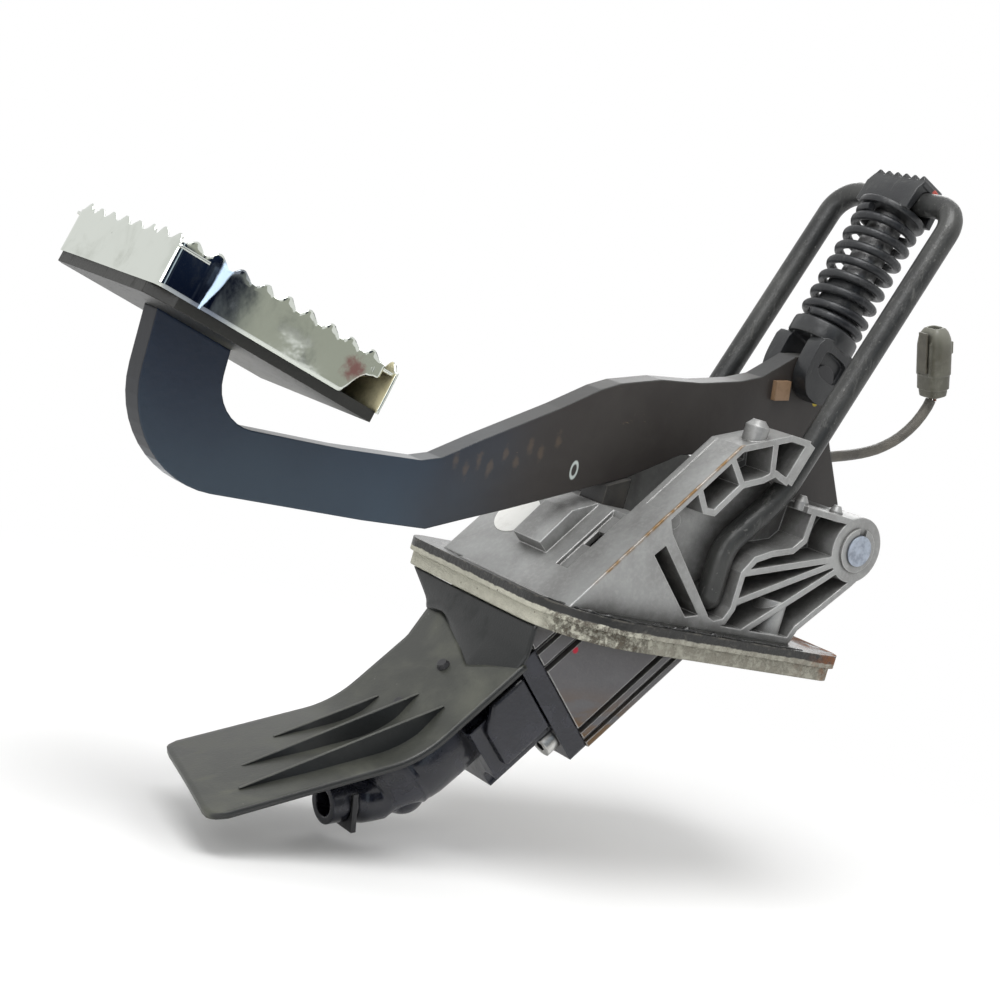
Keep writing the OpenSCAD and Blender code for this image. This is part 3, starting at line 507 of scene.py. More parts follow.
def addLead():
    data = bpy.data.curves.new("leadRun", "CURVE")
    data.dimensions = "3D"
    data.bevel_depth = lead["diameter"] / 2
    data.bevel_resolution = 6
    data.use_fill_caps = True
    line = data.splines.new("POLY")
    line.points.add(len(lead["route"]) - 1)
    for spot, point in zip(line.points, lead["route"]):
        spot.co = (*point, 1.0)
    line.use_smooth = True
    data.materials.append(sheathFinish())
    piece = bpy.data.objects.new("leadRun", data)
    bpy.context.scene.collection.objects.link(piece)
    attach(piece, "base")
    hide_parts("switch_lead")


addLead()
print("lead laid")


# pedal box casting
castBox = {
    "metal": (0.36, 0.365, 0.36),
    "shade": (0.25, 0.25, 0.245),
    "bright": (0.56, 0.56, 0.55),
    "dirtAndShade": (0.050, 0.046, 0.040),
    "stain": (0.17, 0.10, 0.045),
    "foot": (0.105, 0.100, 0.108),
    "footShadeLevel": (-0.0005, -0.003),
    "stainLevel": (-0.022, -0.052),
    "metallic": 0.55,
    "edge": 0.0012,
    "redSpeck": (0.55, 0.03, 0.06),
    "redSpeckAt": (-0.0560, -0.0352, -0.0096),
    "redSpeckReach": (0.0010, 0.0022),
    "rustLine": (0.22, 0.13, 0.05),
    "rustLineAt": (-0.082, -0.052, 0.0135),
    "rustLineSlope": 50.0,
    "rustLineHalf": (0.0017, 0.0006),
    "rustLineFrom": (0.022, 0.034),
}


def castFinish():
    finish, skin, place = startFinish("castAluminium", metallic=castBox["metallic"], rough=0.5)
    x, y, z = (axisOf(place, i) for i in range(3))
    cloud = between(grain(place, 0.045, 5, 0.55, 0.8), 0.32, 0.7)
    base = tone(cloud, castBox["shade"], castBox["metal"])
    fine = between(grain(place, 0.0022, 3), 0.4, 0.75, 0.0, 0.16)
    base = over(base, castBox["bright"], fine)
    # the foot below the plate is darker with painted shade, and duller and stained
    foot = between(z, *castBox["footShadeLevel"])
    base = over(base, castBox["foot"], foot, 0.78)
    run = grain(stretched(place, (0.3, 1, 1), (0, 0.72, 0)), 0.008, 4)
    drip = times(between(z, *castBox["stainLevel"]), between(run, 0.42, 0.60, 0.0, 0.9))
    base = over(base, castBox["stain"], drip)
    base = over(base, castBox["redSpeck"], away(place, castBox["redSpeckAt"], *castBox["redSpeckReach"]))
    # painted shade in recesses, mottled, in the same colour as the dirt specks
    deep = times(hollowShare(place, 0.016), between(grain(place, 0.01, 4), 0.2, 0.6, 0.4, 1.0))
    base = over(base, castBox["dirtAndShade"], deep, 0.72)
    specks = between(grain(place, 0.0035, 5, 0.7), 0.70, 0.76)
    base = over(base, castBox["dirtAndShade"], specks, 0.5)
    patchy = between(grain(place, 0.008, 4), 0.3, 0.55, 0.5, 1.0)
    base = over(base, castBox["bright"], times(edgeShare(place, castBox["edge"]), patchy))
    # a thin rusty line where the sloping wall meets the near cheek
    a = math.radians(castBox["rustLineSlope"])
    lineX, lineY, lineZ = castBox["rustLineAt"]
    off = apart(times(less(z, lineZ), math.cos(a)), times(less(x, lineX), math.sin(a)))
    line = between(off, *castBox["rustLineHalf"])
    line = times(line, between(apart(y, lineY), *castBox["rustLineHalf"]))
    line = times(line, between(z, *castBox["rustLineFrom"]))
    line = times(line, between(grain(place, 0.007, 4), 0.35, 0.6, 0.25, 1.0))
    base = over(base, castBox["rustLine"], line)
    coat(skin, base, between(most(deep, foot), 0, 1, 0.42, 0.68))
    bumps = plus(grain(place, 0.0014, 3), times(grain(place, 0.014, 3), 2.0))
    relief(skin, bumps, 0.00014, castBox["edge"])
    return finish


boxFinish = castFinish()
dress(boxFinish, "housing", "pin_clip")
print("casting dressed")


# steel plate, gasket, label
plate = {
    "paint": (0.014, 0.014, 0.013),
    "worn": (0.13, 0.12, 0.10),
    "rust": (0.24, 0.085, 0.022),
    "foam": (0.50, 0.49, 0.41),
    "foamGrey": (0.33, 0.32, 0.27),
    "soot": (0.085, 0.070, 0.052),
    "label": (0.80, 0.80, 0.77),
    "smudge": (0.5, 0.49, 0.44),
    "swell": (0.0110, 0.0104),  # the heights between which the foam's ragged edge ends
    "sootY": (-0.036, -0.050),
    "sootX": (-0.022, -0.050),
    "greyX": (-0.060, -0.020),
    "foamRustX": (0.050, 0.095),
    "rustX": (0.060, 0.096),
}


def foamTones(place):
    # clean along the lower end, coarse and sooty round the near corner, grey further up
    x, y = axisOf(place, 0), axisOf(place, 1)
    corner = times(between(y, *plate["sootY"]), between(x, *plate["sootX"]))
    upper = between(x, *plate["greyX"])
    level = most(most(times(corner, 0.95), times(upper, 0.42)), 0.14)
    coarse = between(grain(place, 0.0042, 6, 0.78), 0.40, 0.60)
    base = tone(times(upper, 0.8), plate["foam"], plate["foamGrey"])
    sooty = times(coarse, level)
    base = over(base, plate["soot"], sooty)
    base = over(base, plate["soot"], between(cells(place, 0.007), 0.10, 0.05), 0.7)
    rusty = times(between(x, *plate["foamRustX"]), between(grain(place, 0.008, 6, 0.7), 0.45, 0.62))
    base = over(base, plate["rust"], rusty, 0.7)
    return base, plus(grain(place, 0.0018, 5, 0.7), sooty)


def plateFinish():
    finish, skin, place = startFinish("platePaint", metallic=0.1, rough=0.4)
    flakes = between(grain(place, 0.006, 6, 0.7, 0.5), 0.56, 0.66)
    edges = edgeShare(place, 0.0018, 0.01, 0.12)
    chipped = times(edges, between(grain(place, 0.004, 4), 0.44, 0.62))
    corner = between(axisOf(place, 0), *plate["rustX"])
    rusty = times(corner, between(grain(place, 0.009, 6, 0.7), 0.4, 0.56))
    base = tone(times(flakes, 0.35), plate["paint"], plate["worn"])
    base = over(base, plate["worn"], chipped, 0.8)
    base = over(base, plate["rust"], rusty)
    # the foam has swollen round the lower half of the plate's edge
    foam, height = foamTones(place)
    ragged = plus(axisOf(place, 2), times(grain(place, 0.009, 5, 0.65), 0.0026))
    swollen = between(ragged, *plate["swell"])
    base = over(base, foam, swollen)
    coat(skin, base, between(most(rusty, swollen), 0, 1, 0.32, 0.85))
    bumps = plus(grain(place, 0.003, 5, 0.65), most(rusty, times(height, swollen)))
    relief(skin, bumps, 0.0005, 0.0008)
    return finish


def foamFinish():
    finish, skin, place = startFinish("gasketFoam", rough=0.85, level=0.25)
    foam, height = foamTones(place)
    wire(foam, skin.inputs["Base Color"])
    relief(skin, height, 0.0008, 0.0015)
    return finish


def labelFinish():
    finish, skin, place = startFinish("barePaper", rough=0.45)
    smudge = between(grain(place, 0.007, 5), 0.5, 0.75, 0.0, 0.35)
    wire(tone(smudge, plate["label"], plate["smudge"]), skin.inputs["Base Color"])
    relief(skin, grain(place, 0.002, 3), 0.0001)
    return finish


dress(plateFinish(), "mount_plate")
dress(foamFinish(), "flange_gasket")
dress(labelFinish(), "wall_label")
print("plate and gasket dressed")


# recipes for plain steels, for plastics and rubbers, and for painted metal

def steelFinish(name, bright, dull, rough=0.3, metallic=1.0, size=0.004):
    finish, skin, place = startFinish(name, metallic=metallic, rough=rough)
    cloud = between(grain(place, size, 5, 0.65), 0.35, 0.7)
    base = tone(cloud, bright, dull)
    # painted shade in recesses
    base = over(base, tuple(0.25 * c for c in dull), hollowShare(place, 0.006), 0.8)
    coat(skin, base, between(cloud, 0, 1, rough * 0.8, min(1.0, rough * 1.7)))
    relief(skin, grain(place, size * 0.25, 3), 0.0001, 0.0006)
    return finish


def plasticFinish(name, base, dust, rough=0.35, dusty=0.3, size=0.02, round=0.0008):
    finish, skin, place = startFinish(name, rough=rough)
    film = between(grain(place, size, 5, 0.6, 0.4), 0.42, 0.75, 0.0, dusty)
    worn = times(edgeShare(place, round * 1.3), 0.35)
    shade = tone(film, base, dust)
    shade = over(shade, dust, worn)
    coat(skin, shade, between(film, 0, dusty, rough * 0.85, min(1.0, rough * 1.5)))
    relief(skin, grain(place, 0.0009, 3), 0.00012, round)
    return finish


def paintedFinish(name, paint, scuff, rough=0.4, scuffed=0.5, size=0.006, under=None, dabs=()):
    finish, skin, place = startFinish(name, rough=rough)
    long = stretched(place, (1, 1, 0.3), (0, 0.38, 0))
    marks = between(grain(long, size, 6, 0.7, 0.3), 0.56, 0.68, 0.0, scuffed)
    rubbed = times(edgeShare(place, 0.001), 0.6)
    cloud = between(grain(place, size * 5, 4), 0.35, 0.7, 0.0, 0.35)
    base = tone(cloud, paint, scuff)
    base = over(base, scuff, most(marks, rubbed))
    if under:  # painted shade on the faces that don't look down; the underside is darker too past a place along it
        side = facing(place, 2, *under["lookUp"])
        shadeMask = most(side, between(axisOf(place, 0), *under["darkPastX"]))
        base = over(base, tuple(0.35 * c for c in paint), shadeMask)
    for spot, reach, shade in dabs:
        ragged = times(grain(place, 0.003, 3), reach)
        gap = plus(vectors("DISTANCE", place, spot), ragged)
        base = over(base, shade, between(gap, 1.5 * reach, 1.1 * reach))
    coat(skin, base, between(marks, 0, 1, rough, min(1.0, rough + 0.3)))
    relief(skin, plus(grain(place, 0.0014, 4), marks), 0.00010, 0.0007)
    return finish


# two tones for each small part's finish
small = {
    "zinc": ((0.62, 0.62, 0.60), (0.36, 0.35, 0.33)),
    "rod": ((0.40, 0.40, 0.40), (0.22, 0.22, 0.22)),
    "pin": ((0.42, 0.47, 0.55), (0.30, 0.33, 0.38)),
    "bronze": ((0.55, 0.38, 0.16), (0.35, 0.23, 0.10)),
    "machined": ((0.72, 0.73, 0.74), (0.5, 0.5, 0.5)),
    "phosphate": ((0.016, 0.016, 0.018), (0.070, 0.070, 0.070)),
    "padPaint": ((0.030, 0.030, 0.023), (0.13, 0.125, 0.09)),
    "rubber": ((0.018, 0.018, 0.018), (0.10, 0.09, 0.075)),
    "switch": ((0.02, 0.02, 0.022), (0.08, 0.08, 0.075)),
    "latch": ((0.075, 0.070, 0.052), (0.20, 0.19, 0.15)),
    "plunger": ((0.72, 0.70, 0.62), (0.5, 0.47, 0.4)),
    "wires": ((0.16, 0.045, 0.02), (0.25, 0.12, 0.07)),
    "tan": ((0.24, 0.15, 0.085), (0.12, 0.085, 0.055)),
    "oilAndShade": (0.012, 0.012, 0.014),
    "oilAndShadeFrom": (-0.020, -0.028),  # level across the barrel, whose axis leans by the angle below
    "barrelAngle": 48.5,
    "padUnder": {"lookUp": (-0.8, -0.4), "darkPastX": (-0.268, -0.285)},
}


def socketFinish():
    # the lower screws are clean; the upper ones under the shield are oily and get painted shade, as do the
    # recesses
    finish, skin, place = startFinish("socketScrew", metallic=1.0, rough=0.36)
    cloud = between(grain(place, 0.004, 5, 0.65), 0.35, 0.7)
    base = tone(cloud, *small["zinc"])
    a = math.radians(small["barrelAngle"])
    across = less(times(axisOf(place, 0), math.sin(a)), times(axisOf(place, 2), math.cos(a)))
    oilyShade = between(across, *small["oilAndShadeFrom"])
    base = over(base, small["oilAndShade"], most(oilyShade, times(hollowShare(place, 0.006), 0.85)))
    coat(skin, base, between(oilyShade, 0, 1, 0.34, 0.6))
    relief(skin, grain(place, 0.001, 3), 0.0001, 0.0008)
    return finish


dress(steelFinish("zincPlate", *small["zinc"], rough=0.38), "plate_screws", "switch_nut", "clevis_pin")
dress(steelFinish("plainSteel", *small["rod"], rough=0.35), "guide_rod", "pushrod")
dress(socketFinish(), "cylinder_screws")
dress(steelFinish("pinSteel", *small["pin"], rough=0.42, metallic=0.8, size=0.006), "pivot_pin")
dress(steelFinish("bushBronze", *small["bronze"], rough=0.4), "arm_bushes")
dress(steelFinish("pistonAlloy", *small["machined"], rough=0.25), "piston")
dress(paintedFinish("blackPhosphate", *small["phosphate"], rough=0.5, scuffed=0.45),
      "spring_seat", "spring_guide", "stop_ring", "clevis_clip", "port_clip", "nose_pin", "shield_screws")
dress(paintedFinish("padPaint", *small["padPaint"], rough=0.42, under=small["padUnder"]), "pad_plate")
dress(plasticFinish("blackRubber", *small["rubber"], rough=0.6, dusty=0.35),
      "piston_seal", "pushrod_boot", "stop_bumper")
dress(plasticFinish("switchPlastic", *small["switch"]), "clutch_switch")
dress(plasticFinish("plugPlastic", *small["latch"], rough=0.45, dusty=0.5, size=0.01, round=0.0006),
      "connector_body", "connector_latch")
dress(plasticFinish("plungerPlastic", *small["plunger"]), "switch_plunger")
dress(plasticFinish("wireInsulation", *small["wires"], rough=0.4, size=0.004, round=0.0003),
      "connector_wires")
dress(plasticFinish("tanNylon", *small["tan"], rough=0.55, size=0.006), "wear_pad")
print("small parts dressed")


# sealant: an uneven black bead squeezed out along the near edge of the plate
sealant = {
    "corner": (-0.0520, -0.0280),  # centre of the plate's big round corner
    "radius": 0.0354,
    "from": math.radians(200),
    "to": 0.0640,
    "level": 0.0136,
    "step": 0.0012,
    "wander": 0.0006,
    "thin": 0.0004,
    "swell": 0.0013,
    "swellMost": 0.0018,
    "heavy": (0.33, 0.62),  # shares of the way between which the bead is heaviest
    "base": (0.008, 0.008, 0.008),
    "haze": (0.060, 0.060, 0.055),
}


def addSealant():
    path = []
    cx, cy = sealant["corner"]
    reach = sealant["radius"]
    turns = [sealant["from"] + (math.radians(270) - sealant["from"]) * i / 20 for i in range(21)]
    run = [(cx + reach * math.cos(a), cy + reach * math.sin(a)) for a in turns]
    run.append((sealant["to"], cy - reach))
    for (x0, y0), (x1, y1) in zip(run, run[1:]):
        steps = max(2, int(math.dist((x0, y0), (x1, y1)) / sealant["step"]))
        for i in range(steps):
            share = i / steps
            x, y = x0 + (x1 - x0) * share, y0 + (y1 - y0) * share
            wander = sealant["wander"] * noise.noise(Vector((x * 180, y * 180, 5)))
            path.append(Vector((x, y + wander, sealant["level"] + 0.5 * wander)))

    def thick(share):
        lump = noise.noise(Vector((share * 34, 1, 2))) + 0.6 * noise.noise(Vector((share * 110, 7, 2)))
        start, end = sealant["heavy"]
        heavy = 1.5 if start < share < end else 0.9
        swell = sealant["swell"] * heavy * max(0.0, lump + 0.28) * min(1.0, 12 * share, 12 * (1 - share))
        return sealant["thin"] + min(sealant["swellMost"], swell)

    points, faces = sweep(path, thick, 10)
    finish = plasticFinish("sealantBlack", sealant["base"], sealant["haze"],
                           rough=0.3, dusty=0.5, size=0.004, round=0.0003)
    newPiece("sealantBead", points, faces, finish, "base", sharp=70)


addSealant()
print("sealant run")


# pedal arm: blue-black towards the pad, the blue partly a painted reflection, with a painted slate sheen
# lower down; brown-black paint, scuffed, towards the pivot
arm = {
    "blue": (0.0045, 0.013, 0.032),
    "slateSheen": (0.022, 0.040, 0.062),
    "brown": (0.026, 0.022, 0.020),
    "brownPale": (0.040, 0.036, 0.032),
    "scuff": (0.150, 0.105, 0.065),
    "hair": (0.12, 0.12, 0.115),
    "band": (0.085, 0.087, 0.085),
    "black": (0.003, 0.004, 0.007),
    "turn": (-0.145, -0.045),  # along the arm, from blue to brown
    "sheenLevel": (0.120, 0.045),
    "dab": (0.50, 0.38, 0.02),
    "dabAt": (0.0801, -0.006, 0.1326),
    "dabReach": (0.0015, 0.0021),
    "ring": (0.45, 0.50, 0.48),
    "ringAt": (-0.0636, -0.006, 0.0709),
    "ringFlat": 0.5,
    "ringInner": (0.0012, 0.0017),
    "ringOuter": (0.0021, 0.0026),
    "dashes": [
        (-0.133, 0.063), (-0.126, 0.060), (-0.120, 0.066), (-0.113, 0.063), (-0.106, 0.071),
        (-0.099, 0.069), (-0.093, 0.077), (-0.086, 0.075), (-0.078, 0.083),
    ],
    "dashTilt": 0.30,
    "dashFlat": 0.42,
    "dashReach": (0.0044, 0.0022),
}


def dashRow(place):
    # a row of rubbed dashes where a boot scraped along the arm
    tilt, flat = arm["dashTilt"], arm["dashFlat"]
    fuzz = times(grain(place, 0.0035, 3), 0.004)
    shifted = stretched(place, (1, 0, flat), (0, tilt, 0))
    rows = None
    for x, z in arm["dashes"]:
        spot = Matrix.Rotation(tilt, 3, "Y") @ Vector((x, 0, flat * z))
        near = between(plus(vectors("DISTANCE", shifted, spot), fuzz), *arm["dashReach"])
        rows = near if rows is None else most(rows, near)
    return rows


def armFinish():
    finish, skin, place = startFinish("armPaint", rough=0.34)
    along, up = axisOf(place, 0), axisOf(place, 2)
    drift = times(grain(place, 0.05, 3), 0.05)
    right = between(plus(along, drift), *arm["turn"])
    # painted sheen: the lower part of the arm turns slate
    lowerSheen = between(plus(up, drift), *arm["sheenLevel"])
    base = tone(lowerSheen, arm["blue"], arm["slateSheen"])
    cloud = between(grain(place, 0.03, 4, 0.6, 0.5), 0.35, 0.7, 0.0, 0.5)
    base = over(base, tone(cloud, arm["brown"], arm["brownPale"]), right)
    long = stretched(place, (0.3, 1, 1), (0, 0.34, 0))
    scrapes = between(grain(long, 0.0045, 5, 0.7, 0.2), 0.66, 0.73)
    zone = times(right, between(grain(place, 0.03, 3), 0.45, 0.62))
    marks = most(times(dashRow(place), 0.3), times(times(scrapes, zone), 0.7))
    base = over(base, arm["scuff"], marks)
    hairLines = stretched(place, (8, 1, 1), (0, 0.9, 0))
    hairs = between(grain(hairLines, 0.02, 4, 0.7), 0.70, 0.73, 0.0, 0.4)
    base = over(base, arm["hair"], times(hairs, right))
    # a pale oval ring
    flat = arm["ringFlat"]
    oval = stretched(place, (1, 1, flat))
    ringX, ringY, ringZ = arm["ringAt"]
    spot = (ringX, ringY, flat * ringZ)
    inner, outer = away(oval, spot, *arm["ringInner"]), away(oval, spot, *arm["ringOuter"])
    base = over(base, arm["ring"], less(outer, inner, True))
    base = over(base, arm["dab"], away(place, arm["dabAt"], *arm["dabReach"]))
    edges = times(edgeShare(place, 0.0014), between(grain(place, 0.01, 4), 0.3, 0.6, 0.3, 1.0))
    base = over(base, arm["band"], times(edges, right))
    # painted light makes the upper side greyer; painted shade makes the side towards the pad nearly black
    base = over(base, arm["band"], facing(place, 2, 0.5, 0.8), 0.6)
    padSideShade = facing(place, 0, -0.45, -0.75)
    base = over(base, arm["black"], padSideShade, 0.9)
    coat(skin, base, between(most(right, padSideShade), 0, 1, 0.30, 0.52))
    relief(skin, plus(grain(place, 0.004, 4), times(marks, 0.8)), 0.00009, 0.0013)
    return finish


dress(armFinish(), "pedal_arm")
print("arm dressed")


# assist bail: one bent rod, from hook to hook
bail = {
    "rod": 0.0125,
    "corners": [
        (0.011, -0.0285, 0.028), (0.011, -0.042, 0.028), (0.011, -0.042, 0.054), (0.03805, -0.042, 0.084),
        (0.1035, -0.042, 0.246), (0.1035, 0.042, 0.246), (0.03805, 0.042, 0.084), (0.011, 0.042, 0.054),
        (0.011, 0.042, 0.028), (0.011, 0.0285, 0.028),
    ],
    "radii": [0.0005, 0.02, 0.06, 0.0145, 0.0145, 0.06, 0.02, 0.0005],
    "paint": (0.022, 0.023, 0.023),
    "scuff": (0.14, 0.14, 0.13),
}


def rodFinishOf(name, paint, scuff):
    finish, skin, place = startFinish(name, metallic=0.2, rough=0.42)
    long = stretched(place, (1, 1, 0.22), (0, 0.38, 0))
    marks = between(grain(long, 0.0045, 6, 0.72), 0.55, 0.68)
    flecks = between(grain(place, 0.0022, 3, 0.6), 0.66, 0.70)
    cloud = between(grain(place, 0.03, 3), 0.3, 0.7, 0.0, 0.5)
    # for the spring, the scuff colour is a painted shine
    base = tone(cloud, paint, tuple(0.5 * (a + b) for a, b in zip(paint, scuff)))
    base = over(base, scuff, marks, 0.45)
    base = over(base, scuff, flecks, 0.7)
    coat(skin, base, between(marks, 0, 1, 0.36, 0.6))
    relief(skin, plus(grain(place, 0.0016, 4), marks), 0.00018)
    return finish


def addBail():
    points, faces = sweep(bendPath(bail["corners"], bail["radii"], 12), bail["rod"] / 2, 28)
    finish = rodFinishOf("bailPaint", bail["paint"], bail["scuff"])
    newPiece("bailRod", points, faces, finish, "base", ["assist_bail"])


addBail()
print("bail bent")


# assist spring: eight turns, closed at both ends
spring = {
    "top": (0.1035, 0.0, 0.246),
    "foot": (0.071, 0.0, 0.145),
    "outer": 0.036,
    "wire": 0.0048,
    "turns": 8,
    "closed": 0.9,  # turns at each end that lie against each other
    "from": 0.011,
    "tail": 0.027,
    "keep": 0.918,
    "paint": (0.010, 0.011, 0.014),
    "shine": (0.070, 0.072, 0.070),
}


def addSpring():
    top, foot = Vector(spring["top"]), Vector(spring["foot"])
    down = (foot - top).normalized()
    side = Vector((0, 1, 0))
    front = side.cross(down)
    wireHalf = spring["wire"] / 2
    first, last = spring["from"] + wireHalf, (foot - top).length - spring["tail"] - wireHalf
    coil = spring["outer"] / 2 - wireHalf
    perTurn = 44
    count = int(spring["turns"] * perTurn)
    closed = spring["closed"]
    open = spring["turns"] - 2 * closed
    pitch = (last - first - 2 * closed * spring["wire"]) / open
    path = []
    for i in range(count + 1):
        turn = i / perTurn
        ends = min(turn, closed) + max(0.0, turn - spring["turns"] + closed)
        rise = first + ends * spring["wire"] + max(0.0, min(turn - closed, open)) * pitch
        a = 2 * math.pi * turn
        path.append(top + down * rise + coil * (math.cos(a) * front + math.sin(a) * side))
    points, faces = sweep(path, wireHalf, 14)
    finish = rodFinishOf("springPaint", spring["paint"], spring["shine"])
    piece = newPiece("assistCoil", points, faces, finish, "spring_upper", ["assist_spring"])
    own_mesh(piece)


addSpring()
print("spring wound")


# splash shield: one moulded sheet with a rounded bend, three fins and a root that wraps the box foot
shield = {
    "bend": (-0.12965, -0.06955),
    "upAngle": 48.5,
    "lowAngle": 199.5,
    "round": 0.016,
    "thick": 0.003,
    "half": 0.040,
    # how far the sheet reaches from the bend at each place across it
    "top": [(-0.040, 0.066), (-0.011, 0.051), (0.019, 0.066), (0.033, 0.073), (0.040, 0.0715)],
    "tip": [
        (-0.040, 0.098), (-0.0385, 0.1025), (-0.035, 0.1055), (-0.030, 0.1052), (0.030, 0.0915),
        (0.0365, 0.0895), (0.0392, 0.0865), (0.040, 0.083),
    ],
    "flare": 0.008,
    "flareFrom": 0.050,
    "flareRun": 0.022,
    "crown": 0.0012,
    "crownSpan": 0.085,
    # place across, reach up, reach down, half thickness at the foot
    "fins": [
        (-0.0235, 0.027, 0.084, 0.0030), (-0.0035, 0.026, 0.072, 0.0036), (0.0165, 0.0145, 0.045, 0.0028),
    ],
    "finCrest": 0.0007,
    "rootFrom": -0.0385,
    "rootTo": 0.0475,
    "rootCorner": (-0.0866, -0.0150),
    "rootTop": (-0.0868, -0.0007),
    "rootLean": 0.019,
    "rootHump": 0.0022,
    "rootThick": 0.0016,
    "base": (0.030, 0.032, 0.026),
    "dust": (0.105, 0.108, 0.085),
    "worn": (0.20, 0.205, 0.175),
    "hollowShade": (0.008, 0.009, 0.008),
    "finShade": (0.006, 0.007, 0.008),
    "streakX": (-0.165, -0.215),
    "root": (0.004, 0.005, 0.005),
    "rootDust": (0.016, 0.019, 0.018),
}


def curveAt(first, middle, last, share):
    return (1 - share) ** 2 * first + 2 * share * (1 - share) * middle + share ** 2 * last


def shieldPoint(way, across, out=0.0):
    # way runs from the bend: up the upper leaf when positive, down the lower leaf when negative
    up, low = math.radians(shield["upAngle"]), math.radians(shield["lowAngle"])
    bend = Vector((shield["bend"][0], 0, shield["bend"][1]))
    upward, downward = Vector((math.cos(up), 0, math.sin(up))), Vector((math.cos(low), 0, math.sin(low)))
    upOut, lowOut = Vector((-math.sin(up), 0, math.cos(up))), Vector((math.sin(low), 0, -math.cos(low)))
    reach = shield["round"]
    if abs(way) >= reach:
        along, face = (upward, upOut) if way > 0 else (downward, lowOut)
        spot = bend + along * abs(way)
    else:
        share = (way + reach) / (2 * reach)
        face = (lowOut * (1 - share) + upOut * share).normalized()
        spot = curveAt(bend + downward * reach, bend, bend + upward * reach, share)
    spot = spot + face * (out + shield["thick"])
    return Vector((spot.x, across, spot.z))


def shieldFinish():
    finish, skin, place = startFinish("shieldPlastic", rough=0.5)
    film = between(grain(place, 0.03, 5, 0.6, 0.4), 0.4, 0.75, 0.0, 0.6)
    long = stretched(place, (0.25, 1, 1), (0, -0.34, 0))
    streak = between(grain(long, 0.009, 5, 0.65), 0.5, 0.72)
    outer = between(axisOf(place, 0), *shield["streakX"])
    film = most(film, times(times(streak, outer), 0.9))
    specks = between(cells(place, 0.011), 0.045, 0.025)
    # painted highlight along the edges; the same colour marks real specks
    worn = times(edgeShare(place, 0.001), 0.55)
    base = tone(film, shield["base"], shield["dust"])
    base = over(base, shield["worn"], most(worn, times(specks, 0.5)))
    # painted shade in hollows
    base = over(base, shield["hollowShade"], hollowShare(place, 0.012), 0.75)
    # painted shade on the near sides of the fins
    base = over(base, shield["finShade"], facing(place, 1, -0.35, -0.75), 0.85)
    coat(skin, base, between(film, 0, 1, 0.38, 0.62))
    relief(skin, grain(place, 0.0012, 3), 0.00008, 0.0008)
    return finish


def addShieldSheet(finish):
    rows, columns = 61, 41
    half, crown = shield["half"], shield["crown"]
    points = []
    for i in range(rows):
        for j in range(columns):
            y = -half + 2 * half * j / (columns - 1)
            low, high = -heightAt(shield["tip"], y), heightAt(shield["top"], y)
            way = low + (high - low) * (i / (rows - 1))
            flared = max(0.0, (way - shield["flareFrom"]) / shield["flareRun"])
            wide = shield["flare"] * flared * max(0.0, y) / half
            out = crown * math.cos(math.pi * y / shield["crownSpan"]) - crown
            points.append(shieldPoint(way, y + wide, out))
    faces = sheetFaces(points, rows, columns, (-1, 0, 1))
    piece = newPiece("shieldSheet", points, faces, finish, "base", ["splash_shield"],
                     closed=False)
    thicken(piece, shield["thick"])


def addFin(name, finish, y, up, low, half):
    count = 30
    points = []
    start, end = shieldPoint(up, y, 0.0002), shieldPoint(-low, y, 0.0002)
    for i in range(count + 1):
        share = i / count
        foot, crest = shieldPoint(up - (up + low) * share, y, -0.002), start.lerp(end, share)
        wide, thin = half * min(1.0, 6 * share, 3.2 * (1 - share)), shield["finCrest"]
        for side, spot in ((-wide, foot), (-thin, crest), (thin, crest), (wide, foot)):
            points.append(Vector((spot.x, y + side, spot.z)))
    faces = []
    for i in range(count):
        for k in range(4):
            m = (k + 1) % 4
            faces.append((4 * i + k, 4 * i + m, 4 * i + 4 + m, 4 * i + 4 + k))
    faces += [(0, 1, 2, 3), tuple(4 * count + k for k in (3, 2, 1, 0))]
    newPiece(name, points, faces, finish, "base", ["splash_shield"])


def addShieldRoot():
    # the root carries on above the crease and turns up against the front of the box foot
    columns, steps = 45, 22
    left, right = shield["rootFrom"], shield["rootTo"]
    points = []
    for i in range(steps):
        for j in range(columns):
            y = left + (right - left) * j / (columns - 1)
            start = shieldPoint(heightAt(shield["top"], min(y, shield["half"])) - 0.003, y, -0.0011)
            corner = Vector((shield["rootCorner"][0], y, shield["rootCorner"][1]))
            high = Vector((shield["rootTop"][0], y, shield["rootTop"][1]))
            share = i / (steps - 1)
            if share < 0.5:
                spot = start.lerp(corner, share * 2)
            else:
                spot = corner.lerp(high, share * 2 - 1)
            lean = max(0.0, (spot.z + 0.013) / 0.013) * shield["rootLean"] * max(0.0, y) / right
            hump = shield["rootHump"] * math.sin(math.pi * share) * math.sin(math.pi * j / (columns - 1))
            points.append(Vector((spot.x - hump, y + lean, spot.z + 0.4 * hump)))
    for _ in range(3):  # softens the fold
        fresh = [Vector(p) for p in points]
        for i in range(1, steps - 1):
            for j in range(columns):
                here = i * columns + j
                fresh[here] = (points[here - columns] + 2 * points[here] + points[here + columns]) / 4
        points = fresh
    faces = sheetFaces(points, steps, columns, (-1, 0, 1))
    # near-black: the root's own black, darkened as painted shade under the plate
    finish = plasticFinish("shieldRootPlastic", shield["root"], shield["rootDust"], rough=0.4, size=0.02)
    piece = newPiece("shieldRoot", points, faces, finish, "base", ["splash_shield"],
                     closed=False)
    thicken(piece, shield["rootThick"])


finish = shieldFinish()
addShieldSheet(finish)
for number, fin in enumerate(shield["fins"]):
    addFin("shieldFin" + str(number + 1), finish, *fin)
addShieldRoot()
print("splash shield moulded")


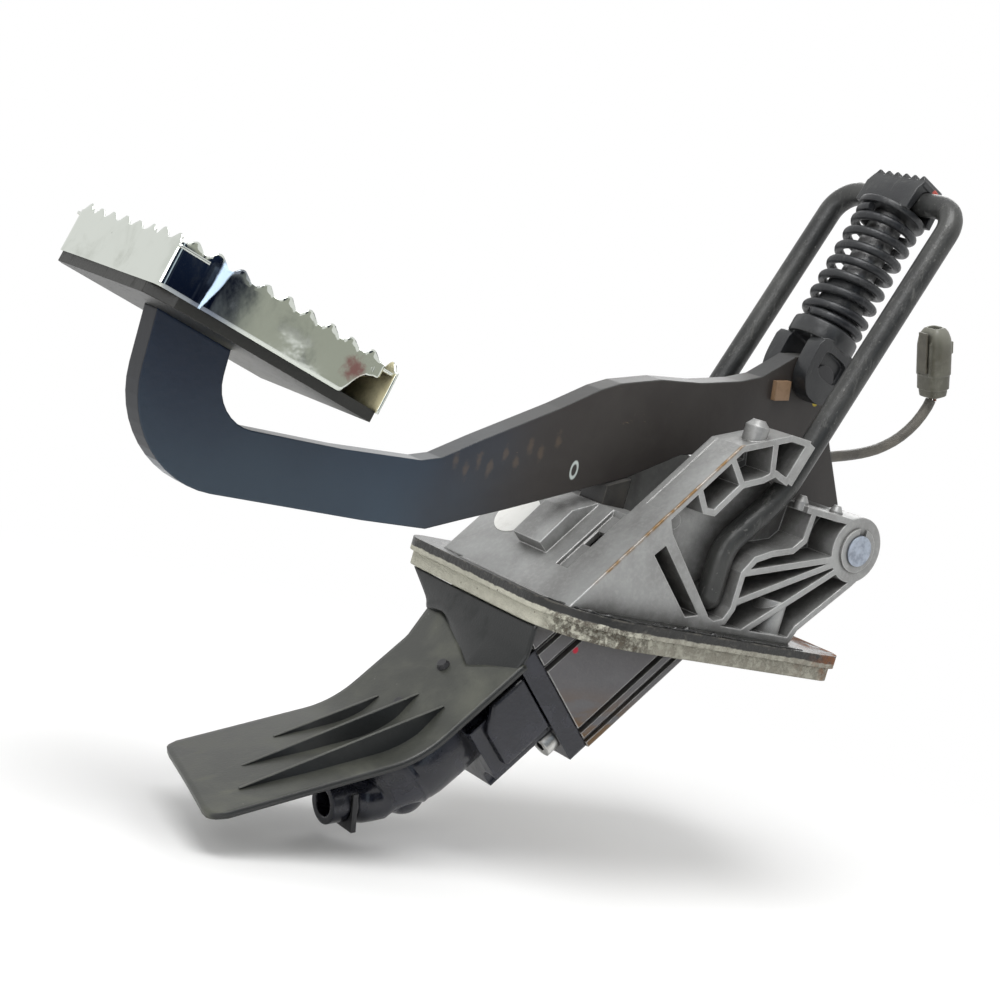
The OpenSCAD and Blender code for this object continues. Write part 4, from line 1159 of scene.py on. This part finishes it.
# master cylinder: moulded elbow with its hose neck, over the machined body
cylinder = {
    "foot": (-0.035, 0.0),
    "angle": 48.5,
    "elbowFrom": -0.072,  # way along the barrel
    "elbowTo": -0.112,
    "portFrom": (-0.106, -0.0965),
    "portAngle": 193.0,
    "radii": [  # share of the elbow's way, radius
        (0, 0.0201), (0.05, 0.0212), (0.30, 0.0216), (0.50, 0.0212), (0.62, 0.0190), (0.72, 0.0152),
        (0.79, 0.0126), (0.86, 0.0122), (0.95, 0.0121), (1.0, 0.0102),
    ],
    "shroud": [
        (-0.0165, -0.0500), (-0.0165, -0.0700), (-0.0060, -0.0790), (0.0165, -0.0790), (0.0165, -0.0500),
    ],
    "shroudY": (-0.0335, -0.0290),
    "base": (0.009, 0.010, 0.016),
    "haze": (0.040, 0.042, 0.058),
    "hollowShade": (0.003, 0.003, 0.004),
}


def onBarrel(x, way, y):
    a = math.radians(cylinder["angle"])
    c, s = math.cos(a), math.sin(a)
    fx, fz = cylinder["foot"]
    return Vector((fx + way * c + x * s, y, fz + way * s - x * c))


def glossFinish():
    finish, skin, place = startFinish("cylinderPlastic", rough=0.24)
    film = between(grain(place, 0.018, 5, 0.6, 0.5), 0.42, 0.75, 0.0, 0.55)
    base = tone(film, cylinder["base"], cylinder["haze"])
    base = over(base, cylinder["haze"], edgeShare(place, 0.0013), 0.5)
    # painted shade in hollows
    base = over(base, cylinder["hollowShade"], hollowShare(place, 0.018), 0.8)
    coat(skin, base, between(film, 0, 0.55, 0.18, 0.42))
    relief(skin, grain(place, 0.004, 3), 0.00012, 0.0015)
    return finish


def addCylinder():
    finish = glossFinish()
    dress(finish, "cylinder_body")
    a, b = math.radians(cylinder["angle"]), math.radians(cylinder["portAngle"])
    down, out = Vector((-math.cos(a), 0, -math.sin(a))), Vector((math.cos(b), 0, math.sin(b)))
    port = Vector((cylinder["portFrom"][0], 0, cylinder["portFrom"][1]))
    start, low = onBarrel(0, cylinder["elbowFrom"], 0), onBarrel(0, cylinder["elbowTo"], 0)
    path = [start.lerp(low, i / 8) for i in range(8)]
    path += [curveAt(low, low + down * 0.006, port + out * 0.016, i / 12) for i in range(13)]
    path += [port + out * (0.019 + 0.0026 * i) for i in range(5)]
    points, faces = sweep(path, lambda share: heightAt(cylinder["radii"], share), 40)
    newPiece("elbowShell", points, faces, finish, "base", sharp=60)
    # raised cover over the root of the barrel, with the slanting front that hides the upper screw
    points, faces = slab(cylinder["shroud"], onBarrel, *cylinder["shroudY"])
    newPiece("shroudCover", points, faces, finish, "base", round=0.0015)


addCylinder()
print("cylinder moulded")


# spring guide: crown, sleeve and a fork of two deep cheeks round the nose of the arm
# spring seat: a cup under a saddle on the bail, with a comb of teeth; profiles are (radius, way)
guide = {
    "top": (0.1035, 0.0, 0.246),
    "foot": (0.071, 0.0, 0.145),
    "crown": 0.079,
    "sleeve": [  # ways counted from the crown
        (0.0110, -0.0270), (0.0123, -0.0270), (0.0123, -0.0005), (0.0165, 0.0001), (0.0178, 0.0012),
        (0.0180, 0.0030), (0.0180, 0.0085), (0.0172, 0.0098), (0.0110, 0.0100),
    ],
    "cheek": [
        (-0.0150, 0.0865), (0.0150, 0.0865), (0.0148, 0.1040), (0.0125, 0.1120), (0.0060, 0.1185),
        (-0.0060, 0.1185), (-0.0125, 0.1120), (-0.0148, 0.1040),
    ],
    "pocket": [
        (-0.0085, 0.0925), (0.0095, 0.0925), (0.0098, 0.0985), (0.0092, 0.1040), (0.0050, 0.1060),
        (-0.0040, 0.1060), (-0.0080, 0.1040), (-0.0085, 0.0985),
    ],
    "pocketDepth": 0.0030,
    "cheekOuter": 0.0165,
    "cheekInner": 0.0069,
    "archHalf": 0.0142,
    "archFoot": 0.0075,  # ways counted from the crown
    "archTop": 0.0112,
    "archRise": 0.0022,
    "paint": (0.011, 0.012, 0.014),
    "scuff": (0.060, 0.062, 0.060),
    "seatHalf": 0.0185,
    "cup": [
        (0.0088, 0.0070), (0.0180, 0.0072), (0.0187, 0.0080), (0.0187, 0.0102), (0.0178, 0.0109),
        (0.0088, 0.0110),
    ],
    "saddle": [
        (-0.0118, 0.0085), (-0.0112, -0.0035), (-0.0085, -0.0095), (0.0085, -0.0095), (0.0112, -0.0035),
        (0.0118, 0.0085), (0.0085, 0.0085),
    ],
    "saddleEnd": (-0.0085, 0.0085),
    "bar": 0.0064,
    "teeth": 6,
    # share of a tooth's width, way
    "tooth": [(0.12, -0.0088), (0.40, -0.0120), (0.62, -0.0120), (0.92, -0.0088)],
    "combFoot": -0.0060,
    "combHalf": 0.0086,
    "dab": ((0.1079, -0.0180, 0.2530), 0.0026, (0.45, 0.06, 0.04)),
}


def eased(outline):
    # cuts the corners of an outline twice, so that it reads as a curve
    for _ in range(2):
        cut = []
        for (ax, ay), (bx, by) in zip(outline, outline[1:] + outline[:1]):
            cut.append((0.78 * ax + 0.22 * bx, 0.78 * ay + 0.22 * by))
            cut.append((0.22 * ax + 0.78 * bx, 0.22 * ay + 0.78 * by))
        outline = cut
    return outline


def springWay():
    return (Vector(guide["foot"]) - Vector(guide["top"])).normalized()


def onSpring(x, way, y):
    down = springWay()
    side = Vector((-down.z, 0, down.x))
    return Vector(guide["top"]) + down * way + side * x + Vector((0, y, 0))


def acrossSpring(y, way, x):
    return onSpring(x, way, y)


def addGuide():
    finish = paintedFinish("guidePaint", guide["paint"], guide["scuff"], rough=0.34, size=0.005)
    crown = guide["crown"]
    inner, outer = guide["cheekInner"], guide["cheekOuter"]
    sleeve = [(radius, crown + way) for radius, way in guide["sleeve"]]
    parts = [turned(sleeve, guide["top"], springWay())]
    cheek, pocket, depth = eased(guide["cheek"]), eased(guide["pocket"]), guide["pocketDepth"]
    parts.append(slab(cheek, onSpring, -outer, -inner, pocket, depth))
    parts.append(slab(cheek, onSpring, outer, inner, pocket, -depth))
    # the cheeks meet in a round arch under the crown
    arch = [(-inner, crown + guide["archFoot"]), (inner, crown + guide["archFoot"])]
    for i in range(11):
        a = math.pi * i / 10
        arch.append((inner * math.cos(a), crown + guide["archTop"] - guide["archRise"] * math.sin(a)))
    parts.append(slab(arch, acrossSpring, -guide["archHalf"], guide["archHalf"]))
    points, faces = joined(*parts)
    newPiece("forkGuide", points, faces, finish, "spring_lower", ["spring_guide"],
             round=0.0009)


def addSeat():
    finish = paintedFinish("seatPaint", guide["paint"], guide["scuff"], rough=0.36, scuffed=0.55,
                           size=0.005, dabs=[guide["dab"]])
    half, bar, teeth = guide["seatHalf"], guide["bar"], guide["teeth"]
    saddle = list(guide["saddle"])
    for i in range(13):
        a = math.pi * i / 12
        saddle.append((bar * math.cos(a), -bar * math.sin(a)))
    saddle.append(guide["saddleEnd"])
    # the comb's teeth are cut in the profile across the vehicle
    comb = [(-half, guide["combFoot"])]
    for i in range(teeth):
        y0 = -half + 2 * half * i / teeth
        comb += [(y0 + share * (2 * half / teeth), way) for share, way in guide["tooth"]]
    comb.append((half, guide["combFoot"]))
    parts = [
        turned(guide["cup"], guide["top"], springWay()),
        slab(saddle, onSpring, -half + 0.0004, half - 0.0004),
        slab(comb, acrossSpring, -guide["combHalf"], guide["combHalf"]),
    ]
    points, faces = joined(*parts)
    newPiece("combSeat", points, faces, finish, "spring_upper", ["spring_seat"],
             round=0.0006)


addGuide()
addSeat()
print("guide and seat moulded")


# pad cover: thin chromed sheet over the pad plate, with a row of grip teeth along every edge
pad = {
    "corner": (-0.323, 0.109),
    "tilt": math.radians(14.6),
    "length": 0.118,
    "half": 0.049,
    "skirt": 0.019,
    "sheet": 0.0013,
    "tooth": 0.0042,
    "pitch": 0.0118,
    "step": 0.0011,
    "crease": (0.0165, 0.0225),
    "cornerCut": 0.004,
    "tearFrom": 0.094,
    "tearRise": 0.0085,
    "gapAtEnd": 0.0085,  # from the torn near skirt to the end skirt
    "topEdge": 0.0012,
    "dent": 0.0011,
    "chrome": (0.62, 0.65, 0.60),
    "smear": (0.40, 0.42, 0.37),
    "scratch": (0.10, 0.10, 0.09),
    "navyReflection": (0.085, 0.105, 0.16),
    "navyReflectionX": (0.052, 0.030),
    "fold": (0.62, 0.80, 1.0),
    "foldAt": 0.0219,
    "foldSlant": 0.16,
    "rub": (0.33, 0.07, 0.09),
    "rubAt": (0.096, 0.0115),
    "rubReach": (0.0120, 0.0070),
    "inside": (0.62, 0.57, 0.37),
    "insideDark": (0.36, 0.33, 0.20),
}


def padPoint(x, y, n):
    c, s = math.cos(pad["tilt"]), math.sin(pad["tilt"])
    return Vector((pad["corner"][0] + x * c + n * s, y, pad["corner"][1] - x * s + n * c))


def padAxis(place, tip):
    # way along one of the pad's own directions, from its corner
    corner = padPoint(0, 0, 0)
    ahead = padPoint(*tip) - corner
    return less(vectors("DOT_PRODUCT", place, ahead), corner.dot(ahead))


def chromeFinish():
    finish, skin, place = startFinish("padChrome", metallic=1.0, rough=0.08)
    smear = between(grain(place, 0.02, 4, 0.55, 0.6), 0.5, 0.75)
    long = stretched(place, (5, 5, 1), (0.3, 0.5, 0))
    scratch = between(grain(long, 0.03, 4, 0.7), 0.685, 0.715)
    pits = between(grain(place, 0.003, 4, 0.7), 0.70, 0.75)
    marks = most(scratch, pits)
    base = tone(times(smear, 0.5), pad["chrome"], pad["smear"])
    base = over(base, pad["scratch"], marks, 0.4)
    # the near skirt is creased: a painted highlight along the fold, with a painted navy reflection that
    # fades away from it
    way, height = padAxis(place, (1, 0, 0)), padAxis(place, (0, 0, 1))
    near = between(axisOf(place, 1), 0.0015 - pad["half"], 0.0005 - pad["half"])
    loose = plus(way, times(grain(place, 0.009, 4), 0.009))
    base = over(base, pad["navyReflection"], times(between(loose, *pad["navyReflectionX"]), near), 0.85)
    wander = times(grain(place, 0.012, 3), 0.0022)
    bend = plus(less(pad["foldAt"], times(height, -pad["foldSlant"])), wander)
    wide = plus(times(height, 0.13), 0.0005)
    fold = between(sums("DIVIDE", apart(way, less(bend, 0.0022)), wide), 1.15, 0.6)
    fold = times(fold, near)
    base = over(base, pad["fold"], fold)
    # a red rub mark beside the tear
    spot = padPoint(pad["rubAt"][0], -pad["half"], pad["rubAt"][1])
    ragged = plus(vectors("DISTANCE", place, spot), times(grain(place, 0.005, 4, 0.7), 0.011))
    base = over(base, pad["rub"], between(ragged, *pad["rubReach"], 0.0, 0.75))
    dull = most(between(smear, 0, 1, 0.06, 0.2), times(marks, 0.4))
    coat(skin, base, most(dull, times(fold, 0.6)))
    # less metal under the painted highlight, so that it shows brighter
    wire(less(1.0, times(fold, 0.9)), skin.inputs["Metallic"])
    waves = plus(grain(place, 0.03, 2), times(grain(place, 0.007, 2), 0.12))
    relief(skin, less(waves, times(scratch, 0.1)), 0.0003)
    return finish


def toothAt(way, seed):
    # height of the serrated edge at a distance along it
    turn = way / pad["pitch"]
    index, share = math.floor(turn), turn % 1.0
    dice = random.Random(index * 31 + seed)
    peak = 0.5 + dice.uniform(-0.12, 0.12)
    height = pad["tooth"] * dice.uniform(0.75, 1.0)
    rise = share / peak if share < peak else (1 - share) / (1 - peak)
    return height * max(0.04, min(0.93, 1.35 * rise - 0.22))


def eachStep(corners):
    # points along a run of corners, which are rounded a little
    run = []
    for (x0, y0), (x1, y1) in zip(corners, corners[1:]):
        steps = max(2, int(math.dist((x0, y0), (x1, y1)) / pad["step"]))
        run += [(x0 + (x1 - x0) * i / steps, y0 + (y1 - y0) * i / steps) for i in range(steps)]
    run.append(corners[-1])
    for _ in range(2):
        middle = []
        for before, here, after in zip(run, run[1:], run[2:]):
            middle.append(tuple((a + 2 * b + c) / 4 for a, b, c in zip(before, here, after)))
        run = [run[0]] + middle + [run[-1]]
    return run


def addBand(name, corners, seed, finish, inside, lowEdge=None):
    # one run of skirt and teeth through plan points (x, y); its outer side is on the left of the run
    run = eachStep(corners)
    rows, skirtRows = 16, 11.0
    points = []
    way = 0.0
    for i, (x, y) in enumerate(run):
        if i:
            way += math.dist(run[i - 1], (x, y))
        ax, ay = run[max(i - 1, 0)]
        bx, by = run[min(i + 1, len(run) - 1)]
        length = math.dist((ax, ay), (bx, by)) or 1
        nx, ny = (by - ay) / length, -(bx - ax) / length
        low = lowEdge(way) if lowEdge else 0.0
        tooth = toothAt(way, seed)
        for j in range(rows):
            v = j / skirtRows
            if v <= 1:
                n = low + (pad["skirt"] - low) * v
            else:
                n = pad["skirt"] + tooth * (v - 1) / (4 / skirtRows)
            wave = noise.noise(Vector((x * 28, y * 28, n * 40 + seed))) * 0.00045
            bent = 0.0016 * max(0.0, v - 1) * (1.0 + noise.noise(Vector((x * 160, y * 160, seed))))
            out = wave - 0.0007 - bent
            points.append(padPoint(x + nx * out, y + ny * out, n))
    middle = len(run) // 2
    mx, my = run[middle]
    tx, ty = run[middle + 1][0] - mx, run[middle + 1][1] - my
    towards = padPoint(ty * 1000, -tx * 1000, 0) - padPoint(0, 0, 0)
    faces = sheetFaces(points, len(run), rows, towards)
    piece = newPiece(name, points, faces, finish, "pedal", ["pad_cover"], closed=False)
    thicken(piece, pad["sheet"], inside)


def addPadCover():
    finish = chromeFinish()
    inside = steelFinish("padInside", pad["inside"], pad["insideDark"], rough=0.45, metallic=0.1, size=0.01)
    h, length, cut = pad["half"], pad["length"], pad["cornerCut"]
    first, second = pad["crease"]
    tornEnd = length - pad["gapAtEnd"]
    far = [(length - 0.001, h), (cut, h), (0.0, h - cut), (0.0, -h + 0.0022)]
    near = [(0.0022, -h + 0.0004), (first, -h + 0.0004), (second, -h - 0.0007), (tornEnd, -h - 0.0002)]
    around = far + near
    whole = sum(math.dist(a, b) for a, b in zip(around, around[1:]))

    def torn(way):  # the near skirt ends in a ragged tear next to the end skirt
        past = max(0.0, way - whole + (tornEnd - pad["tearFrom"]))
        rise = min(1.0, past / 0.006)
        ragged = 0.0012 * rise * noise.noise(Vector((way * 400, 0, 1)))
        return rise * (pad["tearRise"] + 0.35 * past) + ragged

    addBand("padSkirt", around, 3, finish, inside, torn)
    addBand("padEndSkirt", [(length, -h + 0.0005), (length, h - 0.0005)], 8, finish, inside)
    # top sheet, slightly crowned and dented
    columns, rowsAcross = 48, 40
    edge = pad["topEdge"]
    points = []
    for i in range(columns + 1):
        for j in range(rowsAcross + 1):
            x = edge + (length - 2 * edge) * i / columns
            y = -h + edge + (2 * h - 2 * edge) * j / rowsAcross
            rim = min(1.0, min(x, length - x, y + h, h - y) / 0.012)
            dent = pad["dent"] * rim * noise.noise(Vector((x * 30, y * 30, 2)))
            points.append(padPoint(x, y, pad["skirt"] - 0.0006 + dent - 0.0004))
    faces = sheetFaces(points, columns + 1, rowsAcross + 1, (0, 0, 1))
    piece = newPiece("padTop", points, faces, finish, "pedal", ["pad_cover"], closed=False)
    thicken(piece, pad["sheet"], inside)


addPadCover()
print("pad cover pressed")


# floor, lamps and the dim room behind the camera
studio = {
    "floor": (0.92, 0.92, 0.915),
    "floorHeight": -0.1225,
    "floorHalf": 9.0,
    "floorShift": (0.05, 0.0, 0),
    "whiteFrom": 0.22,
    "whiteTo": 0.62,
    "ambient": 0.55,
    "aim": (-0.05, 0.0, 0.07),
    "lamps": [  # name, watts, place, diameter
        ("keyLamp", 26.0, (-0.6, -0.4, 1.7), 1.3),
        ("fillLamp", 9.0, (-1.6, -1.0, 0.6), 1.0),
        ("backLamp", 9.0, (1.2, 1.2, 1.0), 1.0),
    ],
    # the dim wall: metres, and degrees round the part
    "wallRadius": 2.4,
    "wallFrom": 196,
    "wallTo": 304,
    "wallHeights": (-0.12, 1.5),
    "paleFrom": -68.5,
    "paleTo": -64.0,
    "slitAt": -96,
    "slitHalf": (9, 4),
    "roomTone": (0.010, 0.018, 0.045),
    "patchTone": (0.25, 0.28, 0.32),
    "paleTone": (0.50, 0.51, 0.45),
    "slitTone": (0.75, 0.88, 1.0),
}


def stageMesh(name, points, faces, finish):
    mesh = bpy.data.meshes.new(name)
    mesh.from_pydata(points, [], faces)
    mesh.materials.append(finish)
    piece = bpy.data.objects.new(name, mesh)
    bpy.context.scene.collection.objects.link(piece)
    return piece


def seenShare(tree):
    # 1 for what the camera sees, in mirrors and through glass too
    path = tree.nodes.new("ShaderNodeLightPath")
    seen = most(path.outputs["Is Camera Ray"], path.outputs["Is Glossy Ray"])
    return most(seen, path.outputs["Is Transmission Ray"])


def addFloor():
    half, z = studio["floorHalf"], studio["floorHeight"]
    finish, skin, place = startFinish("floorPaper", rough=0.9, level=0.1)
    tree = finish.node_tree
    faint = between(grain(place, 0.8, 3), 0.3, 0.7)
    dimmer = tuple(0.99 * c for c in studio["floor"])
    wire(tone(faint, studio["floor"], dimmer), skin.inputs["Base Color"])
    # away from the part the floor melts into the white background
    reach = vectors("LENGTH", stretched(place, (1, 1, 0), shift=studio["floorShift"]))
    share = times(seenShare(tree), between(reach, studio["whiteFrom"], studio["whiteTo"]))
    white = tree.nodes.new("ShaderNodeEmission")
    white.inputs["Color"].default_value = (1, 1, 1, 1)
    white.inputs["Strength"].default_value = 1.0
    mixed = tree.nodes.new("ShaderNodeMixShader")
    wire(share, mixed.inputs[0])
    wire(skin.outputs[0], mixed.inputs[1])
    wire(white.outputs[0], mixed.inputs[2])
    wire(mixed.outputs[0], tree.nodes["Material Output"].inputs["Surface"])
    corners = [(-half, -half, z), (half, -half, z), (half, half, z), (-half, half, z)]
    stageMesh("studioFloor", corners, [(0, 1, 2, 3)], finish)


def addAir():
    world = bpy.data.worlds.new("studioAir")
    bpy.context.scene.world = world
    world.use_nodes = True
    air = world.node_tree.nodes["Background"]
    air.inputs["Color"].default_value = (1, 1, 1, 1)
    wire(between(seenShare(world.node_tree), 0, 1, studio["ambient"], 1.0), air.inputs["Strength"])


def addLamps():
    for name, watts, place, span in studio["lamps"]:
        data = bpy.data.lights.new(name, "AREA")
        data.shape = "DISK"
        data.size = span
        data.energy = watts
        lamp = bpy.data.objects.new(name, data)
        lamp.location = place
        aim = Vector(studio["aim"]) - Vector(place)
        lamp.rotation_euler = aim.to_track_quat("-Z", "Y").to_euler()
        bpy.context.scene.collection.objects.link(lamp)


def wallFinish():
    finish = bpy.data.materials.new("dimWall")
    finish.use_nodes = True
    tree = finish.node_tree
    tree.nodes.clear()
    out = tree.nodes.new("ShaderNodeOutputMaterial")
    glow = tree.nodes.new("ShaderNodeEmission")
    place = placeOf(tree)
    patch = between(grain(place, 0.5, 3), 0.45, 0.7, 0.0, 0.25)
    heading = sums("ARCTAN2", axisOf(place, 1), axisOf(place, 0))
    pale = between(heading, math.radians(studio["paleFrom"]), math.radians(studio["paleTo"]), 0.0, 0.95)
    wide, thin = (math.radians(half) for half in studio["slitHalf"])
    slit = between(apart(heading, math.radians(studio["slitAt"])), wide, thin)
    shade = tone(patch, studio["roomTone"], studio["patchTone"])
    shade = over(shade, studio["paleTone"], pale)
    shade = over(shade, studio["slitTone"], slit)
    wire(shade, glow.inputs["Color"])
    wire(glow.outputs[0], out.inputs["Surface"])
    return finish


def addWall():
    # a dim wall behind the camera, which only mirrors see
    points, faces = [], []
    radius, steps = studio["wallRadius"], 40
    for i in range(steps + 1):
        a = math.radians(studio["wallFrom"] + (studio["wallTo"] - studio["wallFrom"]) * i / steps)
        for height in studio["wallHeights"]:
            points.append((radius * math.cos(a), radius * math.sin(a), height))
    for i in range(steps):
        faces.append((2 * i, 2 * i + 2, 2 * i + 3, 2 * i + 1))
    wall = stageMesh("dimWall", points, faces, wallFinish())
    wall.visible_camera = False
    wall.visible_diffuse = False
    wall.visible_shadow = False
    wall.visible_transmission = False


addFloor()
addAir()
addLamps()
addWall()
bpy.context.scene.view_settings.view_transform = "Standard"
print("studio set")
